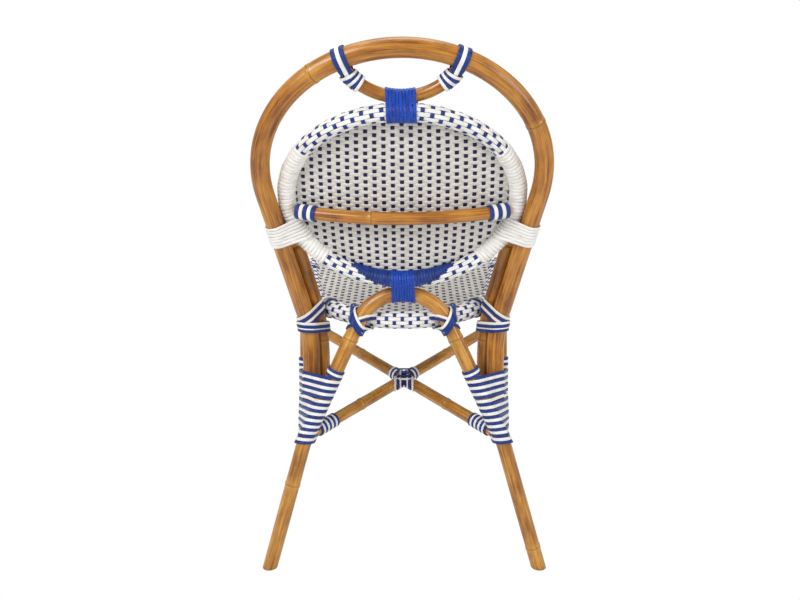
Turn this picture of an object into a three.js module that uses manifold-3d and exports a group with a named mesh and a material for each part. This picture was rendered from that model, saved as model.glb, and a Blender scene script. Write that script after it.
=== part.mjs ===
// Rattan bistro chair: a bent cane frame, a woven seat and oval back, and joints bound with strand.
// Millimetres, +Z up, the sitter faces -Y, origin on the floor under the middle of the chair.

import * as THREE from "three";
import { mergeVertices } from "three/addons/utils/BufferGeometryUtils.js";
import Module from "manifold-3d";

const wasm = await Module();
wasm.setup();

// Fits
const clearance = 0.4;
const strandClearance = 0.6;
const notchClearance = 2;
const notchSpare = 9;
const sideNotchSpare = 13.5;
const overrun = 20;

// Cane sizes
const archRadius = 15.5;
const hoopRadius = 13;
const sideHoopRadius = 12.5;
const braceRadius = 12;
const stretcherRadius = 10.8;
const crossbarRadius = 10.5;
const handleRadius = 10;
const seatFrameRadius = 11.5;
const backFrameRadius = 10.5;
const nodeSwell = 0.9;
const nodeHalfLength = 4;

// Strand sizes
const strandWidth = 4.5;
const strandThickness = 2.4;
const strandGap = 0.65;
const fineStrandWidth = 3.8;
const bandWidth = 6.6;

// The two heights that the others follow: a drop is below the seat's top, unless it says otherwise
const overallHeight = 917;
const seatTopHeight = 459.5;

// Back arch
const archHalfWidth = 224;
const archKneeHalfWidth = 163;
const archKneeDrop = 47.5;
const archKneeBack = 129.5;
const archLeanDegrees = 14.873;
const archWidestShare = 0.606;
const archFlankRadius = 190;
const archKneeRadius = 150;
const archTailHalfWidth = 161.5;
const archTailDrop = 229;

// Rear legs and their hoop
const rearFootHalfWidth = 241.5;
const rearFootBack = 240;
const hoopTopRise = 34.5;
const hoopTopBack = 167;
const hoopBendHalfWidth = 173.5;
const hoopBendDrop = 223.5;
const hoopBendRadius = 260;
const hoopLegDegrees = 24.9;

// Seat
const seatRearRadius = 165.1;
const seatCentreBack = -5;
const seatFlareDegrees = 9;
const seatFrontBack = -229;
const seatCornerRadius = 75;
const seatSkin = 4.1;
const seatPanelThickness = 5;
const seatPanelDrop = 4;
const seatPanelSag = 3;
const seatSagShare = 0.7;
const seatPanelRows = 6;

// Side hoops, which are also the front legs
const frontFootHalfWidth = 216;
const frontFootBack = -262;
const sideHoopRearHalfWidth = 175;
const sideHoopFrontHalfWidth = 198;
const sideHoopFrontBack = -214;
const sideHoopRearBend = 85;
const sideHoopFrontBend = 70;
const sideTailDrop = 160.5;

// Oval back: its side gap is from the arch at the side binding, its top drop from the overall height
const ovalSideGap = 34.9;
const ovalTopDrop = 109;
const ovalLeanDegrees = 15.2;
const rimSeatDegrees = 18;
const ovalBow = 34;
const backSkin = 3.6;
const backPanelThickness = 5;
const backPanelForward = 5.5;

// Woven panels: a wavy sheet whose ribs stand for the main strands
const ribPitch = 36;
const ribHeight = 2.4;
const blankSpare = 9;

// Cross bar and top handle
const crossbarEndGap = 16;
const crossbarShare = 0.4157;
const crossbarEndRise = 7;
const handleHalfSpan = 90;
const handleDepth = 50;

// Stretchers
const stretcherFrontDrop = 167.5;
const stretcherRearDrop = 216.5;
const stretcherRearSetback = 45;
const knotArm = 36;
const knotWall = 3.2;
const nailRadius = 1.4;

// Braces beside the arch
const braceTopGap = 18;
const braceBottomDrop = 159.5;
const braceForwardDegrees = 50;

// Leg wraps and collars
const wrapBottomDrop = 232.5;
const wrapTopDrop = 115.5;
const wrapTurns = 7.5;
const wrapBottomDegrees = 10;
const wrapTopDegrees = 11;
const wrapBackSlope = 0.33;
const hoopCollarDrop = 102.5;
const sideCollarDrop = 107;
const collarTurns = 1.5;

// Bindings of the oval
const sideBindingShare = 0.287;
const sideBindingLength = 38;
const sideBindingTurns = 5;
const topBindingHalfWidth = 23;
const topBindingTurns = 7;
const bottomBindingHalfWidth = 19;
const bottomBindingTurns = 5;
const bottomWrapStart = 26;
const bottomWrapEnd = 82;
const bottomWrapTurns = 6;
const crossbarBindingInset = 21;
const crossbarBindingTurns = 2;

// Bindings of the handle, by distance from the arch's middle line
const strapReach = 19;
const strapWidth = 19;
const strapSteps = 5;
const handleKnotStart = 24;
const handleKnotTurns = 2.5;

// Lashings and sleeves
const postLashDrop = 40;
const postLashBackSlope = 0.3;
const seatLashRise = 7;
const lashTurns = 1.5;
const frontLashBack = -120;
const rearSleeveStart = 50.5;
const rearSleeveTurns = 3;
const frontSleeveStart = 34;
const frontSleeveTurns = 3;

// Counts of facets
const caneSides = 10;
const skinSides = 8;
const turnSteps = 7;
const ringSteps = 36;
const kneeSteps = 5;
const bendSteps = 6;
const stepSlack = 0.1;
const leastTurnsApart = 0.5;

const archKneeHeight = seatTopHeight - archKneeDrop;
const archTailHeight = seatTopHeight - archTailDrop;
const hoopTopHeight = seatTopHeight + hoopTopRise;
const hoopBendHeight = seatTopHeight - hoopBendDrop;
const sideTailHeight = seatTopHeight - sideTailDrop;
const stretcherFrontHeight = seatTopHeight - stretcherFrontDrop;
const stretcherRearHeight = seatTopHeight - stretcherRearDrop;
const ovalTopHeight = overallHeight - ovalTopDrop;
const archZ = overallHeight - archRadius;
const backRimRadius = backFrameRadius + clearance + backSkin;
const seatRimRadius = seatFrameRadius + clearance + seatSkin;
const seatFrameHeight = seatTopHeight - seatRimRadius;
const strandOffset = strandClearance + strandThickness / 2;
// How far a winding stands out from the middle of the cane that it goes round
const woundRadius = (radius) => (radius + strandOffset) / Math.cos(Math.PI / turnSteps) + strandThickness / 2;
const strandPitch = strandWidth + strandGap;
const bandPitch = bandWidth + strandGap;

const radians = (degrees) => THREE.MathUtils.degToRad(degrees);
const at = (x, y, z) => new THREE.Vector3(x, y, z);
const mirror = (p) => at(-p.x, p.y, p.z);

// Materials
function finish(color, roughness) {
  return new THREE.MeshStandardMaterial({ color, roughness, metalness: 0 });
}
const honeyCane = finish(0xb87a38, 0.4);
const tanCane = finish(0xc08a48, 0.45);
const whiteStrand = finish(0xe8e4da, 0.35);
const blueStrand = finish(0x1f4099, 0.35);
const weave = finish(0xcfd0d6, 0.4);
const steel = finish(0x8c8c8c, 0.5);

const chair = new THREE.Group();

function add(name, geometry, material) {
  geometry.computeVertexNormals();
  const mesh = new THREE.Mesh(geometry, material);
  mesh.name = name;
  chair.add(mesh);
}

function mirrored(geometry) {
  const other = geometry.clone();
  const place = other.attributes.position;
  const index = other.index.array;
  for (let i = 0; i < place.count; i++) place.setX(i, -place.getX(i));
  for (let i = 0; i < index.length; i += 3) {
    [index[i + 1], index[i + 2]] = [index[i + 2], index[i + 1]];
  }
  return other;
}

function addPair(name, geometry, material) {
  const other = mirrored(geometry);
  add(`${name}_left`, geometry, material);
  add(`${name}_right`, other, material);
}

// Solids from rings of points, each ring counter-clockwise about the way the path runs
function skinRings(rings, closed = false) {
  const count = rings[0].length;
  const index = [];
  const spans = closed ? rings.length : rings.length - 1;
  for (let i = 0; i < spans; i++) {
    const next = (i + 1) % rings.length;
    for (let j = 0; j < count; j++) {
      const k = (j + 1) % count;
      index.push(i * count + j, i * count + k, next * count + k);
      index.push(i * count + j, next * count + k, next * count + j);
    }
  }
  if (!closed) {
    const end = (rings.length - 1) * count;
    for (let j = 1; j < count - 1; j++) {
      index.push(0, j + 1, j);
      index.push(end, end + j, end + j + 1);
    }
  }
  const geometry = new THREE.BufferGeometry();
  const values = rings.flat().flatMap((p) => [p.x, p.y, p.z]);
  geometry.setAttribute("position", new THREE.Float32BufferAttribute(values, 3));
  geometry.setIndex(index);
  return geometry;
}

function toSolid(geometry) {
  const plain = geometry.clone();
  plain.deleteAttribute("normal");
  plain.deleteAttribute("uv");
  const merged = mergeVertices(plain);
  const vertProperties = new Float32Array(merged.attributes.position.array);
  const triVerts = new Uint32Array(merged.index.array);
  return new wasm.Manifold(new wasm.Mesh({ numProp: 3, vertProperties, triVerts }));
}

function fromSolid(solid) {
  const mesh = solid.getMesh();
  const geometry = new THREE.BufferGeometry();
  geometry.setAttribute("position", new THREE.BufferAttribute(mesh.vertProperties, 3));
  geometry.setIndex(new THREE.BufferAttribute(mesh.triVerts, 1));
  return geometry;
}

// Paths
function filletPath(corners, steps) {
  const points = [corners[0].point.clone()];
  for (let i = 1; i < corners.length - 1; i++) {
    const corner = corners[i].point;
    const back = corners[i - 1].point.clone().sub(corner).normalize();
    const ahead = corners[i + 1].point.clone().sub(corner).normalize();
    const halfAngle = back.angleTo(ahead) / 2;
    const reach = corners[i].radius / Math.tan(halfAngle);
    const bisector = back.clone().add(ahead).normalize();
    const centre = corner.clone().addScaledVector(bisector, corners[i].radius / Math.sin(halfAngle));
    const start = corner.clone().addScaledVector(back, reach).sub(centre);
    const sweep = Math.PI - 2 * halfAngle;
    const axis = back.clone().cross(ahead).normalize();
    for (let step = 0; step <= steps; step++) {
      points.push(start.clone().applyAxisAngle(axis, -sweep * step / steps).add(centre));
    }
  }
  points.push(corners[corners.length - 1].point.clone());
  return points;
}

function withMirror(half) {
  const other = half.slice(0, -1).reverse().map(mirror);
  return [...half, ...other];
}

function pathLengths(points) {
  const lengths = [0];
  for (let i = 1; i < points.length; i++) {
    lengths.push(lengths[i - 1] + points[i].distanceTo(points[i - 1]));
  }
  return lengths;
}

function pointAlong(points, lengths, distance) {
  let i = 1;
  while (i < points.length - 1 && lengths[i] < distance) i++;
  const span = (distance - lengths[i - 1]) / (lengths[i] - lengths[i - 1]);
  return points[i - 1].clone().lerp(points[i], span);
}

// A cane: a round tube along a path, with the low ring of a growth node at each share of its length
function cane(points, radius, { nodeShares = [], flatFeet = false, sides = caneSides } = {}) {
  const lengths = pathLengths(points);
  const total = lengths[lengths.length - 1];
  let stations = points.map((point, i) => ({ point, distance: lengths[i], radius }));
  for (const share of nodeShares) {
    const middle = share * total;
    const first = middle - nodeHalfLength;
    const last = middle + nodeHalfLength;
    stations = stations.filter((s) => Math.abs(s.distance - middle) > 2 * nodeHalfLength);
    for (const [distance, swell] of [[first, 0], [middle, nodeSwell], [last, 0]]) {
      stations.push({ point: pointAlong(points, lengths, distance), distance, radius: radius + swell });
    }
  }
  stations.sort((a, b) => a.distance - b.distance);
  const tangents = stations.map((s, i) => {
    const ahead = stations[Math.min(i + 1, stations.length - 1)].point;
    const behind = stations[Math.max(i - 1, 0)].point;
    return ahead.clone().sub(behind).normalize();
  });
  const guide = Math.abs(tangents[0].y) < Math.SQRT1_2 ? at(0, 1, 0) : at(1, 0, 0);
  let side = guide.clone().cross(tangents[0]).normalize();
  const rings = stations.map((station, i) => {
    const tangent = tangents[i];
    side = side.clone().addScaledVector(tangent, -side.dot(tangent)).normalize();
    const other = tangent.clone().cross(side);
    const atEnd = i === 0 || i === stations.length - 1;
    const ring = [];
    for (let j = 0; j < sides; j++) {
      const angle = 2 * Math.PI * j / sides;
      const p = station.point.clone();
      p.addScaledVector(side, station.radius * Math.cos(angle));
      p.addScaledVector(other, station.radius * Math.sin(angle));
      if (atEnd && flatFeet && station.point.z === 0) {
        p.addScaledVector(tangent, -p.z / tangent.z);
      }
      ring.push(p);
    }
    return ring;
  });
  return skinRings(rings);
}

// Where a cane's middle line crosses a plane, nearest to a point, with the way the cane runs there
function crossing(points, origin, normal) {
  let best = null;
  for (let i = 1; i < points.length; i++) {
    const before = points[i - 1].clone().sub(origin).dot(normal);
    const after = points[i].clone().sub(origin).dot(normal);
    if (before * after > 0 || before === after) continue;
    const point = points[i - 1].clone().lerp(points[i], before / (before - after));
    const distance = point.distanceTo(origin);
    if (!best || distance < best.distance) {
      best = { point, distance, run: points[i].clone().sub(points[i - 1]).normalize() };
    }
  }
  return best;
}

// Where two canes lie nearest to each other, and how each runs there
function nearest(first, second) {
  let best = { gap: Infinity };
  for (let i = 1; i < first.length; i++) {
    for (let j = 1; j < second.length; j++) {
      const a = first[i].clone().lerp(first[i - 1], 0.5);
      const line = new THREE.Line3(second[j - 1], second[j]);
      const b = line.closestPointToPoint(a, true, at(0, 0, 0));
      const gap = a.distanceTo(b);
      if (gap < best.gap) {
        const runA = first[i].clone().sub(first[i - 1]).normalize();
        const runB = second[j].clone().sub(second[j - 1]).normalize();
        best = { gap, a, b, runA, runB };
      }
    }
  }
  return best;
}

// The point of a tight band on one cane, in a plane and facing a given way
function bandOn(cane, plane, half) {
  const hit = crossing(cane.points, plane.origin, plane.normal);
  if (!hit || hit.distance > cane.reach) return null;
  const across = hit.run.dot(plane.normal);
  const out = plane.facing.clone();
  out.addScaledVector(plane.normal, -plane.facing.dot(hit.run) / across).normalize();
  const distance = (cane.radius + strandOffset) / Math.cos(half / Math.abs(across));
  const point = hit.point.clone().addScaledVector(out, distance);
  point.addScaledVector(hit.run, -distance * out.dot(plane.normal) / across);
  return { point, out, support: point.clone().sub(plane.origin).dot(plane.facing) };
}

// The stretches of a winding, each lying on the one cane that carries it, in turns from its start
function stretchesOf(canes, planeAt, turns) {
  const looks = 48;
  const tries = 8;
  const carrier = (turn) => {
    const plane = planeAt(turn);
    let best = null;
    for (const cane of canes) {
      const band = bandOn(cane, plane, 0);
      if (band && (!best || band.support > best.support)) best = { cane, support: band.support };
    }
    return best.cane;
  };
  const stretches = [];
  let current = carrier(0);
  let from = 0;
  for (let i = 1; i <= Math.round(turns * looks); i++) {
    const next = carrier(i / looks);
    if (next === current) continue;
    let low = (i - 1) / looks;
    let high = i / looks;
    for (let k = 0; k < tries; k++) {
      const middle = (low + high) / 2;
      if (carrier(middle) === current) low = middle;
      else high = middle;
    }
    stretches.push({ cane: current, from, to: low });
    from = high;
    current = next;
  }
  stretches.push({ cane: current, from, to: turns });
  return stretches.filter((stretch) => stretch.to - stretch.from > 1 / looks);
}

// One flat strand along a row of points, each with the way its face looks
function strip(points, faces, width) {
  const corners = [[-1, -1], [-1, 1], [1, 1], [1, -1]];
  const rings = points.map((point, i) => {
    const ahead = points[Math.min(i + 1, points.length - 1)];
    const behind = points[Math.max(i - 1, 0)];
    const across = faces[i].clone().cross(ahead.clone().sub(behind)).normalize();
    const out = ahead.clone().sub(behind).cross(across).normalize();
    return corners.map(([thick, wide]) => {
      const corner = point.clone().addScaledVector(out, thick * strandThickness / 2);
      return corner.addScaledVector(across, wide * width / 2);
    });
  });
  return rings;
}

// A strand wound round canes, with its least gap to itself printed
const gapReport = [];
function winding(name, canes, course, options = {}) {
  const { turns, width = strandWidth, lead = 0 } = options;
  const planeAt = (turn) => {
    const share = turn / turns;
    const normal = course.fromNormal.clone().lerp(course.toNormal, share).normalize();
    const origin = course.from.clone().lerp(course.to, share).addScaledVector(normal, lead);
    const first = course.guide.clone().addScaledVector(normal, -course.guide.dot(normal)).normalize();
    const facing = first.applyAxisAngle(normal, 2 * Math.PI * turn);
    return { origin, normal, facing };
  };
  const points = [];
  const faces = [];
  const places = [];
  for (const { cane, from, to } of stretchesOf(canes, planeAt, turns)) {
    const pieces = Math.max(1, Math.ceil((to - from) * turnSteps - stepSlack));
    for (let i = 0; i <= pieces; i++) {
      const place = from + (to - from) * i / pieces;
      const band = bandOn(cane, planeAt(place), Math.PI * (to - from) / pieces);
      points.push(band.point);
      faces.push(band.out);
      places.push(place);
    }
  }
  const rings = strip(points, faces, width);
  let least = Infinity;
  for (let i = 0; i < rings.length; i++) {
    for (let j = i + 1; j < rings.length; j++) {
      if (places[j] - places[i] < leastTurnsApart) continue;
      for (const p of rings[i]) {
        for (const q of rings[j]) least = Math.min(least, p.distanceTo(q));
      }
    }
  }
  gapReport.push(`${name} ${least.toFixed(2)}`);
  return skinRings(rings);
}

// A straight course for a winding: its middle, the way it goes and its length
function courseAt(middle, run, length, guide = at(0, -1, 0)) {
  return {
    from: middle.clone().addScaledVector(run, -length / 2),
    to: middle.clone().addScaledVector(run, length / 2),
    fromNormal: run,
    toNormal: run,
    guide,
  };
}

// Main lines of the frame

const archLean = radians(archLeanDegrees);
const archInPlane = (w, h) => at(
  w,
  archKneeBack + h * Math.sin(archLean),
  archKneeHeight + h * Math.cos(archLean)
);
const archTopH = (archZ - archKneeHeight) / Math.cos(archLean);
const widestH = archWidestShare * archTopH;
const flankInset = archHalfWidth - archKneeHalfWidth - archFlankRadius;
const flare = Math.atan2(flankInset, widestH) + Math.asin(archFlankRadius / Math.hypot(widestH, flankInset));
const flankEndW = archHalfWidth - archFlankRadius * (1 - Math.cos(flare));
const flankEndH = widestH - archFlankRadius * Math.sin(flare);

const hoopLean = Math.atan2(rearFootBack - hoopTopBack, hoopTopHeight);
const hoopBack = (z) => rearFootBack - z * Math.tan(hoopLean);
const hoopApexHeight = hoopBendHeight + hoopBendHalfWidth / Math.tan(radians(hoopLegDegrees));
const hoopTopRadius = (hoopApexHeight - hoopTopHeight) / (1 / Math.sin(radians(hoopLegDegrees)) - 1);
const hoopLegHalfWidth = (z) => {
  return hoopBendHalfWidth - (z - hoopBendHeight) * Math.tan(radians(hoopLegDegrees));
};

// The arch's tail passes in front of the hoop's leg where the two cross
const tailCrossHeight = hoopBendHeight
  + (hoopBendHalfWidth - archTailHalfWidth) / Math.tan(radians(hoopLegDegrees));
const tailRun = at(0, 1, -1 / Math.tan(archLean)).normalize();
const legRun = at(
  Math.tan(radians(hoopLegDegrees)),
  Math.tan(hoopLean),
  -1
).normalize();
const tailAcross = tailRun.clone().cross(legRun).normalize();
const tailCrossBack = hoopBack(tailCrossHeight)
  - (archRadius + hoopRadius + 2 * clearance) / Math.abs(tailAcross.y);
const tailSlope = (tailCrossBack - archKneeBack) / (archKneeHeight - tailCrossHeight);
const archTail = at(
  archTailHalfWidth,
  archKneeBack + (archKneeHeight - archTailHeight) * tailSlope,
  archTailHeight
);

function archPath() {
  const quarterSteps = 11;
  const knee = filletPath([
    { point: archTail },
    { point: archInPlane(archKneeHalfWidth, 0), radius: archKneeRadius },
    { point: archInPlane(flankEndW, flankEndH) },
  ], kneeSteps);
  const half = [...knee];
  const flankTurns = 3;
  for (let i = 1; i <= flankTurns; i++) {
    const angle = flare * (1 - i / flankTurns);
    half.push(archInPlane(
      archHalfWidth - archFlankRadius * (1 - Math.cos(angle)),
      widestH - archFlankRadius * Math.sin(angle)
    ));
  }
  for (let i = 1; i <= quarterSteps; i++) {
    const angle = Math.PI / 2 * i / quarterSteps;
    half.push(archInPlane(
      archHalfWidth * Math.cos(angle),
      widestH + (archTopH - widestH) * Math.sin(angle)
    ));
  }
  half[half.length - 1].x = 0;
  return withMirror(half);
}

function hoopPath() {
  const half = filletPath([
    { point: at(rearFootHalfWidth, rearFootBack, 0) },
    { point: at(hoopBendHalfWidth, hoopBack(hoopBendHeight), hoopBendHeight), radius: hoopBendRadius },
    { point: at(0, hoopBack(hoopApexHeight), hoopApexHeight), radius: 0 },
  ], bendSteps).slice(0, -1);
  const angle = radians(hoopLegDegrees);
  const topSteps = 8;
  for (let i = 0; i <= topSteps; i++) {
    const turn = angle + (Math.PI / 2 - angle) * i / topSteps;
    const z = hoopTopHeight - hoopTopRadius * (1 - Math.sin(turn));
    half.push(at(i === topSteps ? 0 : hoopTopRadius * Math.cos(turn), hoopBack(z), z));
  }
  return withMirror(half);
}

// The side hoop's tail lies by the front and outer side of the arch's tail, with its collar in between
const sideTailOut = sideHoopRearHalfWidth - archKneeHalfWidth;
const sideTailForward = Math.sqrt(
  (archRadius + woundRadius(sideHoopRadius) + clearance) ** 2 - sideTailOut ** 2
) / Math.cos(Math.atan(tailSlope));
const sideHoopHeight = seatFrameHeight - seatRimRadius - sideHoopRadius - clearance;
const sideTailBack = (z) => {
  return archKneeBack + (archKneeHeight - z) * tailSlope - sideTailForward;
};

function sideHoopPath() {
  return filletPath([
    { point: at(sideHoopRearHalfWidth - (archKneeHalfWidth - archTailHalfWidth),
      sideTailBack(sideTailHeight), sideTailHeight) },
    { point: at(sideHoopRearHalfWidth, sideTailBack(sideHoopHeight), sideHoopHeight),
      radius: sideHoopRearBend },
    { point: at(sideHoopFrontHalfWidth, sideHoopFrontBack, sideHoopHeight), radius: sideHoopFrontBend },
    { point: at(frontFootHalfWidth, frontFootBack, 0) },
  ], bendSteps);
}

// Oval of the back: a point on its bowed surface for half-width and rise along the lean
const ovalLean = radians(ovalLeanDegrees);
const rimSeatAngle = radians(rimSeatDegrees);
const ovalBottomHeight = hoopTopHeight + (hoopRadius + backRimRadius + clearance) * Math.cos(rimSeatAngle);
const ovalBottomBack = hoopTopBack + (hoopRadius + backRimRadius + clearance) * Math.sin(rimSeatAngle);
const ovalHalfRise = (ovalTopHeight - ovalBottomHeight) / 2 / Math.cos(ovalLean);
const ovalLevel = (share) => ovalBottomHeight + share * (ovalTopHeight - ovalBottomHeight);
const crossbarHeight = ovalLevel(crossbarShare);
const sideBindingMiddle = ovalLevel(sideBindingShare);
const arch = archPath();
const leftArch = arch.slice(0, Math.ceil(arch.length / 2));
const postAt = (z) => crossing(leftArch, at(archHalfWidth, 0, z), at(0, 0, 1));
const ovalHalfWidth = (postAt(sideBindingMiddle).point.x - ovalSideGap)
  / Math.sqrt(1 - (2 * sideBindingShare - 1) ** 2);
const crossbarHalfLength = ovalHalfWidth - crossbarEndGap;
const ovalForward = (x) => {
  const slope = -2 * ovalBow * x / ovalHalfWidth ** 2;
  return at(slope * Math.cos(ovalLean), -Math.cos(ovalLean), Math.sin(ovalLean)).normalize();
};
const onOval = (x, rise, forward = 0) => at(
  x,
  ovalBottomBack + (ovalHalfRise + rise) * Math.sin(ovalLean) - ovalBow * (x / ovalHalfWidth) ** 2,
  ovalBottomHeight + (ovalHalfRise + rise) * Math.cos(ovalLean)
).addScaledVector(ovalForward(x), forward);
const ovalRim = (angle) => onOval(ovalHalfWidth * Math.cos(angle), ovalHalfRise * Math.sin(angle));

const braceTopHeight = sideBindingMiddle - sideBindingLength / 2 - braceTopGap;
const braceBottomHeight = seatTopHeight - braceBottomDrop;

// Seat outline: a round back, flanks that flare forwards and rounded front corners
function seatOutline() {
  const flareAngle = radians(seatFlareDegrees);
  const points = [];
  const rearSteps = 14;
  for (let i = 0; i <= rearSteps; i++) {
    const angle = flareAngle + (Math.PI - 2 * flareAngle) * i / rearSteps;
    points.push(at(
      seatRearRadius * Math.cos(angle),
      seatCentreBack + seatRearRadius * Math.sin(angle),
      seatFrameHeight
    ));
  }
  const flankTop = points[points.length - 1];
  const frontHalfWidth = -flankTop.x + (flankTop.y - seatFrontBack) * Math.tan(flareAngle);
  const corners = filletPath([
    { point: flankTop },
    { point: at(-frontHalfWidth, seatFrontBack, seatFrameHeight), radius: seatCornerRadius },
    { point: at(frontHalfWidth, seatFrontBack, seatFrameHeight), radius: seatCornerRadius },
    { point: points[0] },
  ], bendSteps);
  const flankSteps = 2;
  const rear = corners.slice(1, -1);
  for (let i = 1; i <= flankSteps; i++) {
    points.push(flankTop.clone().lerp(rear[0], i / (flankSteps + 1)));
  }
  points.push(...rear);
  for (let i = 1; i <= flankSteps; i++) {
    points.push(rear[rear.length - 1].clone().lerp(points[0], i / (flankSteps + 1)));
  }
  return points;
}

// The brace runs beside the arch, on its inner front side
function bracePath() {
  const steps = 7;
  const points = [];
  const angle = radians(braceForwardDegrees);
  const distance = archRadius + braceRadius + nodeSwell + 2 * clearance;
  for (let i = 0; i <= steps; i++) {
    const hit = postAt(braceBottomHeight + (braceTopHeight - braceBottomHeight) * i / steps);
    const inward = at(-1, 0, 0).addScaledVector(hit.run, hit.run.x).normalize();
    const forward = hit.run.clone().cross(inward);
    if (forward.y > 0) forward.negate();
    const point = hit.point.clone().addScaledVector(inward, distance * Math.cos(angle));
    points.push(point.addScaledVector(forward, distance * Math.sin(angle)));
  }
  return points;
}

const hoop = hoopPath();
const sideHoop = sideHoopPath();
const brace = bracePath();
const leftHoop = hoop.slice(0, Math.ceil(hoop.length / 2));
const seatRing = seatOutline();
const ovalRing = [];
for (let i = 0; i < ringSteps; i++) ovalRing.push(ovalRim(2 * Math.PI * i / ringSteps));
const seatLoop = [...seatRing, seatRing[0]];
const ovalLoop = [...ovalRing, ovalRing[0]];

// Frame canes

const archNodeShares = [0.414, 0.653];
const hoopNodeShares = [0.142, 0.388, 0.612, 0.965];
const sideNodeShares = [0.34, 0.74, 0.92];
const braceNodeShares = [0.34];
const crossbarNodeShares = [0.36];
add("back_arch", cane(arch, archRadius, { nodeShares: archNodeShares }), honeyCane);
add("rear_leg_hoop", cane(hoop, hoopRadius, { nodeShares: hoopNodeShares, flatFeet: true }), tanCane);
addPair("side_hoop", cane(sideHoop, sideHoopRadius, { nodeShares: sideNodeShares, flatFeet: true }), tanCane);
addPair("brace_cane", cane(brace, braceRadius, { nodeShares: braceNodeShares }), honeyCane);

function tubeSolid(points, radius, sides = caneSides) {
  return toSolid(cane(points, radius, { sides }));
}

// Rings: a round cane, and a skin round it that is open along one slot for the woven panel

function ringFrames(points, upAt) {
  return points.map((point, i) => {
    const next = points[(i + 1) % points.length];
    const before = points[(i + points.length - 1) % points.length];
    const run = next.clone().sub(before).normalize();
    const up = upAt(point);
    up.addScaledVector(run, -up.dot(run)).normalize();
    return { point, up, inward: up.clone().cross(run) };
  });
}

function ringPoint(frame, radius, angle) {
  const point = frame.point.clone().addScaledVector(frame.inward, radius * Math.cos(angle));
  return point.addScaledVector(frame.up, radius * Math.sin(angle));
}

function ringCane(frames, radius, slot) {
  const turn = 2 * Math.PI - (slot.to - slot.from);
  return skinRings(frames.map((frame) => {
    const ring = [];
    for (let j = 0; j <= skinSides; j++) {
      ring.push(ringPoint(frame, radius, slot.to + turn * j / skinSides));
    }
    return ring;
  }), true);
}

function ringSkin(frames, innerRadius, outerRadius, slot) {
  const turn = 2 * Math.PI - (slot.to - slot.from);
  return skinRings(frames.map((frame) => {
    const outer = [];
    const inner = [];
    for (let j = 0; j <= skinSides; j++) {
      outer.push(ringPoint(frame, outerRadius, slot.to + turn * j / skinSides));
      inner.unshift(ringPoint(frame, innerRadius, slot.to + turn * j / skinSides));
    }
    return [...outer, ...inner];
  }), true);
}

// The slot that lets a panel in, and how far the panel's edge stays from the ring's middle line
function slotFor(frameRadius, outerRadius, middle, thickness) {
  const low = middle - thickness / 2;
  const high = middle + thickness / 2;
  const inset = Math.sqrt((frameRadius + clearance) ** 2 - low ** 2) + clearance;
  const from = Math.asin((low - clearance) / outerRadius);
  const to = Math.atan2(high + clearance, inset - clearance);
  return { from, to, inset };
}

// A panel's blank: two faces on a star of spokes, each spoke reaching from the middle to its own edge point
function panelBlank(spokes, faceAt, thickness) {
  const ringShares = [0.35, 0.7, 1];
  const n = spokes.length;
  const points = [];
  const index = [];
  for (const side of [1, -1]) {
    const base = points.length;
    const lift = side * thickness / 2;
    points.push(faceAt(0, 0, lift, 0));
    for (const share of ringShares) {
      for (const spoke of spokes) points.push(faceAt(spoke.x * share, spoke.y * share, lift, share));
    }
    const face = (a, b, c) => (side > 0 ? index.push(a, b, c) : index.push(a, c, b));
    for (let j = 0; j < n; j++) {
      const k = (j + 1) % n;
      face(base, base + 1 + j, base + 1 + k);
      for (let r = 1; r < ringShares.length; r++) {
        const inner = base + 1 + (r - 1) * n;
        face(inner + j, inner + n + j, inner + n + k);
        face(inner + j, inner + n + k, inner + k);
      }
    }
  }
  const upper = 1 + (ringShares.length - 1) * n;
  const lower = upper + 1 + ringShares.length * n;
  for (let j = 0; j < n; j++) {
    const k = (j + 1) % n;
    index.push(upper + j, lower + j, lower + k);
    index.push(upper + j, lower + k, upper + k);
  }
  const geometry = new THREE.BufferGeometry();
  const values = points.flatMap((p) => [p.x, p.y, p.z]);
  geometry.setAttribute("position", new THREE.Float32BufferAttribute(values, 3));
  geometry.setIndex(index);
  return geometry;
}

// A sheet between two faces, with ribs side by side along its second direction
function ribbedSheet(halfWidth, ends, rows, faceAt, thickness) {
  const lines = 2 * Math.ceil(2 * halfWidth / ribPitch) + 1;
  const points = [];
  for (const side of [1, -1]) {
    for (let i = 0; i < lines; i++) {
      for (let j = 0; j <= rows; j++) {
        const x = (i - (lines - 1) / 2) * ribPitch / 2;
        const lift = side * thickness / 2 + (i % 2 ? ribHeight : -ribHeight) / 2;
        points.push(faceAt(x, ends[0] + (ends[1] - ends[0]) * j / rows, lift));
      }
    }
  }
  const index = [];
  const place = (i, j, low) => (low ? lines * (rows + 1) : 0) + i * (rows + 1) + j;
  const quad = (a, b, c, d) => index.push(a, b, c, a, c, d);
  for (let i = 1; i < lines; i++) {
    for (let j = 1; j <= rows; j++) {
      quad(place(i - 1, j - 1, false), place(i, j - 1, false), place(i, j, false), place(i - 1, j, false));
      quad(place(i - 1, j, true), place(i, j, true), place(i, j - 1, true), place(i - 1, j - 1, true));
    }
    quad(place(i - 1, 0, true), place(i, 0, true), place(i, 0, false), place(i - 1, 0, false));
    quad(place(i, rows, true), place(i - 1, rows, true), place(i - 1, rows, false), place(i, rows, false));
  }
  const last = lines - 1;
  for (let j = 1; j <= rows; j++) {
    quad(place(0, j, true), place(0, j - 1, true), place(0, j - 1, false), place(0, j, false));
    quad(place(last, j - 1, true), place(last, j, true), place(last, j, false), place(last, j - 1, false));
  }
  const geometry = new THREE.BufferGeometry();
  const values = points.flatMap((p) => [p.x, p.y, p.z]);
  geometry.setAttribute("position", new THREE.Float32BufferAttribute(values, 3));
  geometry.setIndex(index);
  return geometry;
}

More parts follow.
